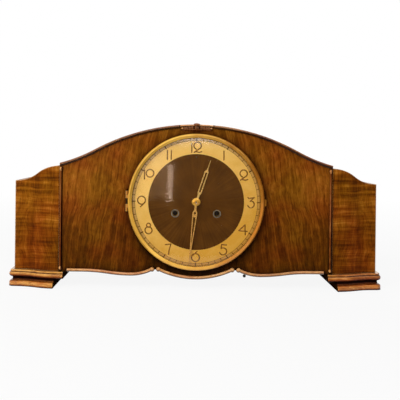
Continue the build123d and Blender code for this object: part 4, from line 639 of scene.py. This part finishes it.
# Strokes of the numerals in a box one unit high, with its width
DIGITS = {
    "0": (0.78, [arc(0.39, 0.59, 0.385, 90, 450, 36)]),
    "1": (0.0, [[(0.0, 0.0), (0.0, 0.9)]]),
    "2": (0.82, [arc(0.41, 0.67, 0.37, 248, -42, 30) + [(0.38, 0.22), (0.08, 0.0)],
                 [(0.08, 0.0), (0.24, 0.07), (0.4, 0.04), (0.58, 0.0), (0.82, 0.07)]]),
    "3": (0.76, [[(0.08, 1.0), (0.2, 0.93), (0.45, 0.96), (0.72, 1.02)], [(0.72, 1.02), (0.34, 0.64)],
                 arc(0.4, 0.33, 0.34, 100, -158)]),
    "4": (0.86, [[(0.66, 0.0), (0.6, 1.0)], [(0.6, 1.0), (0.0, 0.43)], [(0.0, 0.43), (0.86, 0.34)]]),
    "5": (0.8, [[(0.74, 0.98), (0.26, 1.04)], [(0.26, 1.04), (0.22, 0.62)],
                arc(0.42, 0.33, 0.36, 124, -160)]),
    "6": (0.82, [[(0.54, 1.04), (0.24, 0.72)] + arc(0.41, 0.41, 0.4, 148, 508, 36)]),
    "7": (0.58, [[(0.0, 0.95), (0.56, 1.02)], [(0.56, 1.02), (0.45, 0.7), (0.36, 0.32), (0.32, -0.04)]]),
    "8": (0.74, [arc(0.37, 0.86, 0.2, -90, 270), arc(0.37, 0.35, 0.355, 90, 450, 36)]),
    "9": (0.82, [arc(0.41, 0.62, 0.4, -32, 328, 36) + [(0.56, 0.2), (0.3, -0.04)]]),
}

ring_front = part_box("chapter_ring")[0].y


def on_dial(radius, turn):
    """A point of the dial's face, the turn clockwise from twelve."""
    return Vector((dial_mid.x + radius * math.sin(turn), dial_mid.z + radius * math.cos(turn)))


def numeral(hour):
    """Mesh of one upright numeral on the chapter ring."""
    mesh = bmesh.new()
    digits = str(hour)
    gap = ELEVEN_GAP if digits == "11" else NUMERAL_GAP
    width = sum(DIGITS[d][0] for d in digits) + gap * (len(digits) - 1)
    corner = on_dial(NUMERAL_R, math.radians(30 * hour)) - Vector((width / 2, 0.5)) * NUMERAL_H
    for digit in digits:
        for stroke in DIGITS[digit][1]:
            line = [corner + Vector(spot) * NUMERAL_H for spot in stroke]
            ribbon(mesh, line, STROKE, STROKE_H, ring_front)
        corner.x += (DIGITS[digit][0] + gap) * NUMERAL_H
    return mesh


for hour in range(1, 13):
    piece(f"numeral_{hour}", numeral(hour), "numeral", "case")

# Minute track: a pale band between two lines, with a bar for each minute
band = bmesh.new()
band_rings = []
for radius in (TRACK_IN, TRACK_OUT):
    spots = [on_dial(radius, 2 * math.pi * step / TRACK_STEPS) for step in range(TRACK_STEPS)]
    for lift in (0.0, TRACK_H / 3):
        band_rings.append([band.verts.new((spot.x, ring_front - lift, spot.y)) for spot in spots])
for inner, outer in ((0, 1), (1, 3), (3, 2)):
    for step in range(TRACK_STEPS):
        following = (step + 1) % TRACK_STEPS
        band.faces.new((band_rings[inner][step], band_rings[outer][step],
                        band_rings[outer][following], band_rings[inner][following]))
piece("minute_band", band, "track", "case")

track = bmesh.new()
for radius in (TRACK_IN, TRACK_OUT):
    circle = [on_dial(radius, 2 * math.pi * step / TRACK_STEPS) for step in range(TRACK_STEPS + 1)]
    ribbon(track, circle, TRACK_LINE, TRACK_H, ring_front)
for minute in range(60):
    turn = 2 * math.pi * minute / 60
    bar, start = (HOUR_BAR, HOUR_BAR_IN) if minute % 5 == 0 else (MINUTE_BAR, TRACK_IN)
    ribbon(track, [on_dial(start, turn), on_dial(TRACK_OUT, turn)], bar, TRACK_H, ring_front)
piece("minute_track", track, "print", "case")


def lobe(mesh, middle, half_width, half_length, lean, front, height, carve=None, rings=9, sides=36):
    """A carved dome on a flat face: an oval that leans sideways, shaped by carve(across, along)."""
    turn = math.radians(lean)
    along = Vector((math.sin(turn), math.cos(turn))) * half_length
    across = Vector((math.cos(turn), -math.sin(turn))) * half_width

    def spot(reach, angle):
        u, v = reach * math.cos(angle), reach * math.sin(angle)
        rise = height * math.sqrt(max(0.0, 1 - reach * reach)) * (carve(u, v) if carve else 1.0)
        flat = Vector(middle) + across * u + along * v
        return mesh.verts.new((flat.x, front - rise, flat.y))

    tip = spot(0, 0)
    circles = []
    for ring in range(1, rings + 1):
        reach = math.sin(math.pi / 2 * ring / rings)
        circles.append([spot(reach, 2 * math.pi * side / sides) for side in range(sides)])
    for side in range(sides):
        following = (side + 1) % sides
        mesh.faces.new((tip, circles[0][side], circles[0][following]))
        for inner, outer in zip(circles, circles[1:]):
            mesh.faces.new((inner[side], outer[side], outer[following], inner[following]))
    mesh.faces.new(list(reversed(circles[-1])))


def leaf_vein(u, v):
    """A leaf with a hollow down its middle and small notches across its edges."""
    return 1.0 - 0.42 * math.exp(-((u / 0.24) ** 2)) + 0.07 * math.cos(11 * v + 7 * abs(u))


def petals(u, v):
    """A round flower of eight petals."""
    return 0.82 + 0.18 * math.cos(8 * math.atan2(v, u)) * min(1.0, 2.2 * math.hypot(u, v))


crest_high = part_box("crest_ornament")[1]
crest_face = crest_high.y


def on_crest(x, drop):
    """A point of the crest: millimetres from the middle and down from the arch's upper edge."""
    return Vector((x * MM, crest_high.z - (drop + x * x / CREST_BEND) * MM))


def crest_boss(mesh, side, x, drop, half_width, half_height, rise, carve=None):
    """An upright boss of the crest, on the side given as 1 or -1."""
    lobe(mesh, on_crest(side * x, drop), half_width * MM, half_height * MM, 0, crest_face, rise * MM, carve)


def crest_ridge(mesh, drop, reach, step, half_width, rise):
    """A ridge that follows the arch over a reach to both sides of the middle."""
    count = round(reach / step)
    line = [on_crest(index * step, drop) for index in range(-count, count + 1)]
    ribbon(mesh, line, half_width * MM, rise * MM, crest_face)


crest = bmesh.new()
crest_boss(crest, 1, *CREST_CAP)
crest_boss(crest, 1, *CREST_FLOWER, petals)
for side in (1, -1):
    for x, half_length, lean, rise in CREST_LEAVES:
        lobe(crest, on_crest(side * x, CREST_LEAF_DROP), CREST_LEAF_W * MM, half_length * MM, side * lean,
             crest_face, rise * MM, leaf_vein)
crest_ridge(crest, *CREST_STEM)
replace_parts(piece("carved_crest", crest, "carving", "case"), "crest_ornament")
rail = bmesh.new()
crest_ridge(rail, *CREST_RAIL)
for side in (1, -1):
    crest_boss(rail, side, *CREST_BUTTON)
piece("crest_rail", rail, "button", "case")


def screw_heads(name, body, spots, face, radius, height, rows=12, columns=6):
    """Round slotted screw heads on a face that looks back, each at x and z in millimetres with a turn."""
    mesh = bmesh.new()
    reach = SLOT_REACH * math.sqrt(1 - SLOT_HALF * SLOT_HALF)
    for x, z, turn in spots:
        way = Vector((math.cos(math.radians(turn)), math.sin(math.radians(turn))))
        over = Vector((-way.y, way.x))

        def spot(u, v, rise):
            flat = Vector((x * MM, z * MM)) + (way * u + over * v) * radius
            return mesh.verts.new((flat.x, face + rise, flat.y))

        for side in (1, -1):
            grid = []
            wall = []
            for row in range(rows + 1):
                v = reach * (2 * row / rows - 1)
                far = math.sqrt(1 - v * v)
                line = []
                for column in range(columns + 1):
                    u = SLOT_HALF + (far - SLOT_HALF) * column / columns
                    line.append(spot(side * u, v, height * math.sqrt(max(0.0, 1 - u * u - v * v))))
                grid.append(line)
                wall.append(spot(side * SLOT_HALF, v, height * SLOT_FLOOR))
            for row in range(rows):
                mesh.faces.new((wall[row], wall[row + 1], grid[row + 1][0], grid[row][0]))
                for column in range(columns):
                    mesh.faces.new((grid[row][column], grid[row + 1][column],
                                    grid[row + 1][column + 1], grid[row][column + 1]))
        corners = [(-SLOT_HALF, -reach), (SLOT_HALF, -reach), (SLOT_HALF, reach), (-SLOT_HALF, reach)]
        mesh.faces.new([spot(u, v, height * SLOT_FLOOR) for u, v in corners])
    piece(name, mesh, "brass", body)


back_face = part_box("back_board")[1].y
leaf_low, leaf_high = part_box("door_hinge_fixed")
leaf_face = back_face + HINGE_LEAF
leaf_mids = [leaf_low.z / MM + HINGE_HALF, leaf_high.z / MM - HINGE_HALF]
fixed_x = leaf_high.x / MM - FIXED_INSET
door_x = leaf_low.x / MM - DOOR_INSET
# The slots stand at different turns, as a hand leaves them
fixed_spots = [(fixed_x, mid + rise, 30 + 50 * rise) for mid in leaf_mids for rise in FIXED_SCREWS]
door_spots = [(door_x, mid - rise, 70 * rise) for mid in leaf_mids for rise in DOOR_SCREWS]
screw_heads("hinge_screws_fixed", "case", fixed_spots, leaf_face, HINGE_SCREW_R, HINGE_SCREW_H)
screw_heads("hinge_screws_door", "door", door_spots, leaf_face, HINGE_SCREW_R, HINGE_SCREW_H)
screw_heads("back_board_screws", "case", BOARD_SCREWS, back_face, BOARD_SCREW_R, BOARD_SCREW_H)

# Pale floor that melts into the white behind it but keeps the shadow
floor_mesh = bmesh.new()
bmesh.ops.create_grid(floor_mesh, x_segments=1, y_segments=1, size=FLOOR_HALF)
floor = bpy.data.objects.new("floor", bpy.data.meshes.new("floor"))
floor_mesh.to_mesh(floor.data)
floor_mesh.free()
scene.collection.objects.link(floor)
floor_paint = Paint("pale_floor")
floor_paint.set(Base_Color=(FLOOR_GREY, FLOOR_GREY, FLOOR_GREY, 1.0), Roughness=0.9)
rays = floor_paint.add("ShaderNodeLightPath")
seen = floor_paint.math("MAXIMUM", rays.outputs["Is Camera Ray"], rays.outputs["Is Glossy Ray"])
seen = floor_paint.math("MAXIMUM", seen, rays.outputs["Is Transmission Ray"])
distance = floor_paint.vector("LENGTH", floor_paint.place())
away = floor_paint.range(distance, *FLOOR_FADE, FLOOR_WHITE, 1.0)
white = floor_paint.add("ShaderNodeEmission", Color=WHITE, Strength=1.0)
floor_mix = floor_paint.add("ShaderNodeMixShader")
floor_paint.put(floor_mix.inputs[0], floor_paint.math("MULTIPLY", seen, away))
floor_paint.put(floor_mix.inputs[1], floor_paint.shader.outputs[0])
floor_paint.put(floor_mix.inputs[2], white.outputs[0])
floor_paint.put(floor_paint.tree.nodes["Material Output"].inputs["Surface"], floor_mix.outputs[0])
floor.data.materials.append(floor_paint.material)

# White surroundings, softer where they light the object
world = bpy.data.worlds.new("studio")
world.use_nodes = True
scene.world = world
sky = world.node_tree.nodes
sky_links = world.node_tree.links
sky_rays = sky.new("ShaderNodeLightPath")
direct = sky.new("ShaderNodeMath")
direct.operation = "MAXIMUM"
sky_links.new(sky_rays.outputs["Is Camera Ray"], direct.inputs[0])
sky_links.new(sky_rays.outputs["Is Glossy Ray"], direct.inputs[1])
through = sky.new("ShaderNodeMath")
through.operation = "MAXIMUM"
sky_links.new(direct.outputs[0], through.inputs[0])
sky_links.new(sky_rays.outputs["Is Transmission Ray"], through.inputs[1])
level = sky.new("ShaderNodeMapRange")
level.inputs["To Min"].default_value = SKY_FILL
level.inputs["To Max"].default_value = 1.0
sky_links.new(through.outputs[0], level.inputs["Value"])
sky["Background"].inputs["Color"].default_value = WHITE
sky_links.new(level.outputs[0], sky["Background"].inputs["Strength"])


def lamp(name, place, target, size, power, colour=(1.0, 1.0, 1.0)):
    """A soft square or oblong lamp that looks at a target."""
    data = bpy.data.lights.new(name, "AREA")
    data.color = colour
    data.shape = "RECTANGLE"
    data.size, data.size_y = size
    data.energy = power
    made = bpy.data.objects.new(name, data)
    made.location = place
    made.rotation_euler = (Vector(target) - Vector(place)).to_track_quat("-Z", "Y").to_euler()
    scene.collection.objects.link(made)
    return made


key = lamp("key", place=(-0.7, -0.95, 0.8), target=(0, 0, 0.12), size=(0.8, 0.8), power=11.0)
key.visible_glossy = False
lamp("bank", place=(0.05, -1.3, 1.14), target=(0, 0, 0.15), size=(0.9, 0.32), power=5.4)
lamp("strip", place=(-0.42, -1.53, 0.27), target=(0, 0, 0.15), size=(0.07, 0.74), power=2.2,
     colour=(1.0, 0.75, 0.55))
lamp("rear", place=(0.5, 1.4, 0.9), target=(0, 0, 0.12), size=(0.8, 0.8), power=5.0)


def card(name, colour, corners):
    """A glowing board that only polished surfaces reflect, as in a photographer's studio."""
    board_paint = Paint(name)
    board_paint.set(Base_Color=(0, 0, 0, 1), Roughness=0.95, Specular_IOR_Level=0.0)
    board_paint.set(Emission_Color=(*colour, 1.0), Emission_Strength=1.0)
    mesh = bmesh.new()
    mesh.faces.new([mesh.verts.new(corner) for corner in corners])
    made = bpy.data.objects.new(name, bpy.data.meshes.new(name))
    mesh.to_mesh(made.data)
    mesh.free()
    made.data.materials.append(board_paint.material)
    made.visible_camera = False
    made.visible_diffuse = False
    made.visible_shadow = False
    made.visible_transmission = False
    scene.collection.objects.link(made)


def upright(start, end, height):
    """Corners of a board that stands on the floor between two points."""
    return [(*start, 0.0), (*end, 0.0), (*end, height), (*start, height)]


def lying(start, end, lift):
    """Corners of a level board between two opposite corners."""
    return [(*start, lift), (end[0], start[1], lift), (*end, lift), (start[0], end[1], lift)]


far_left = (-CARD_SIDE, CARD_FAR)
far_split = (CARD_SPLIT, CARD_FAR)
far_right = (CARD_SIDE, CARD_FAR)
card("card_front", (0.22, 0.16, 0.095), upright(far_split, far_right, height=1.5))
card("card_window", (2.2, 1.4, 0.75), upright(far_left, far_split, height=1.5))
card("card_low", (0.08, 0.06, 0.04),
     lying((CARD_LOW_LEFT, CARD_FAR), (CARD_SIDE, CARD_LOW_BACK), lift=CARD_LOW_LIFT))
card("card_right", (0.42, 0.3, 0.18), upright(far_right, (CARD_SIDE, CARD_RIGHT_BACK), height=1.3))
card("card_left", (0.9, 0.68, 0.42), upright(far_left, (-CARD_SIDE, CARD_LEFT_BACK), height=1.1))

view = bpy.data.cameras.new("view")
view.lens = LENS
view.sensor_width = SENSOR
view.shift_x = SHIFT_X
view.shift_y = SHIFT_Y
camera = bpy.data.objects.new("camera", view)
camera.location = EYE
camera.rotation_euler = (math.radians(90), -ROLL, 0)
scene.collection.objects.link(camera)
scene.camera = camera
scene.view_settings.view_transform = "Standard"
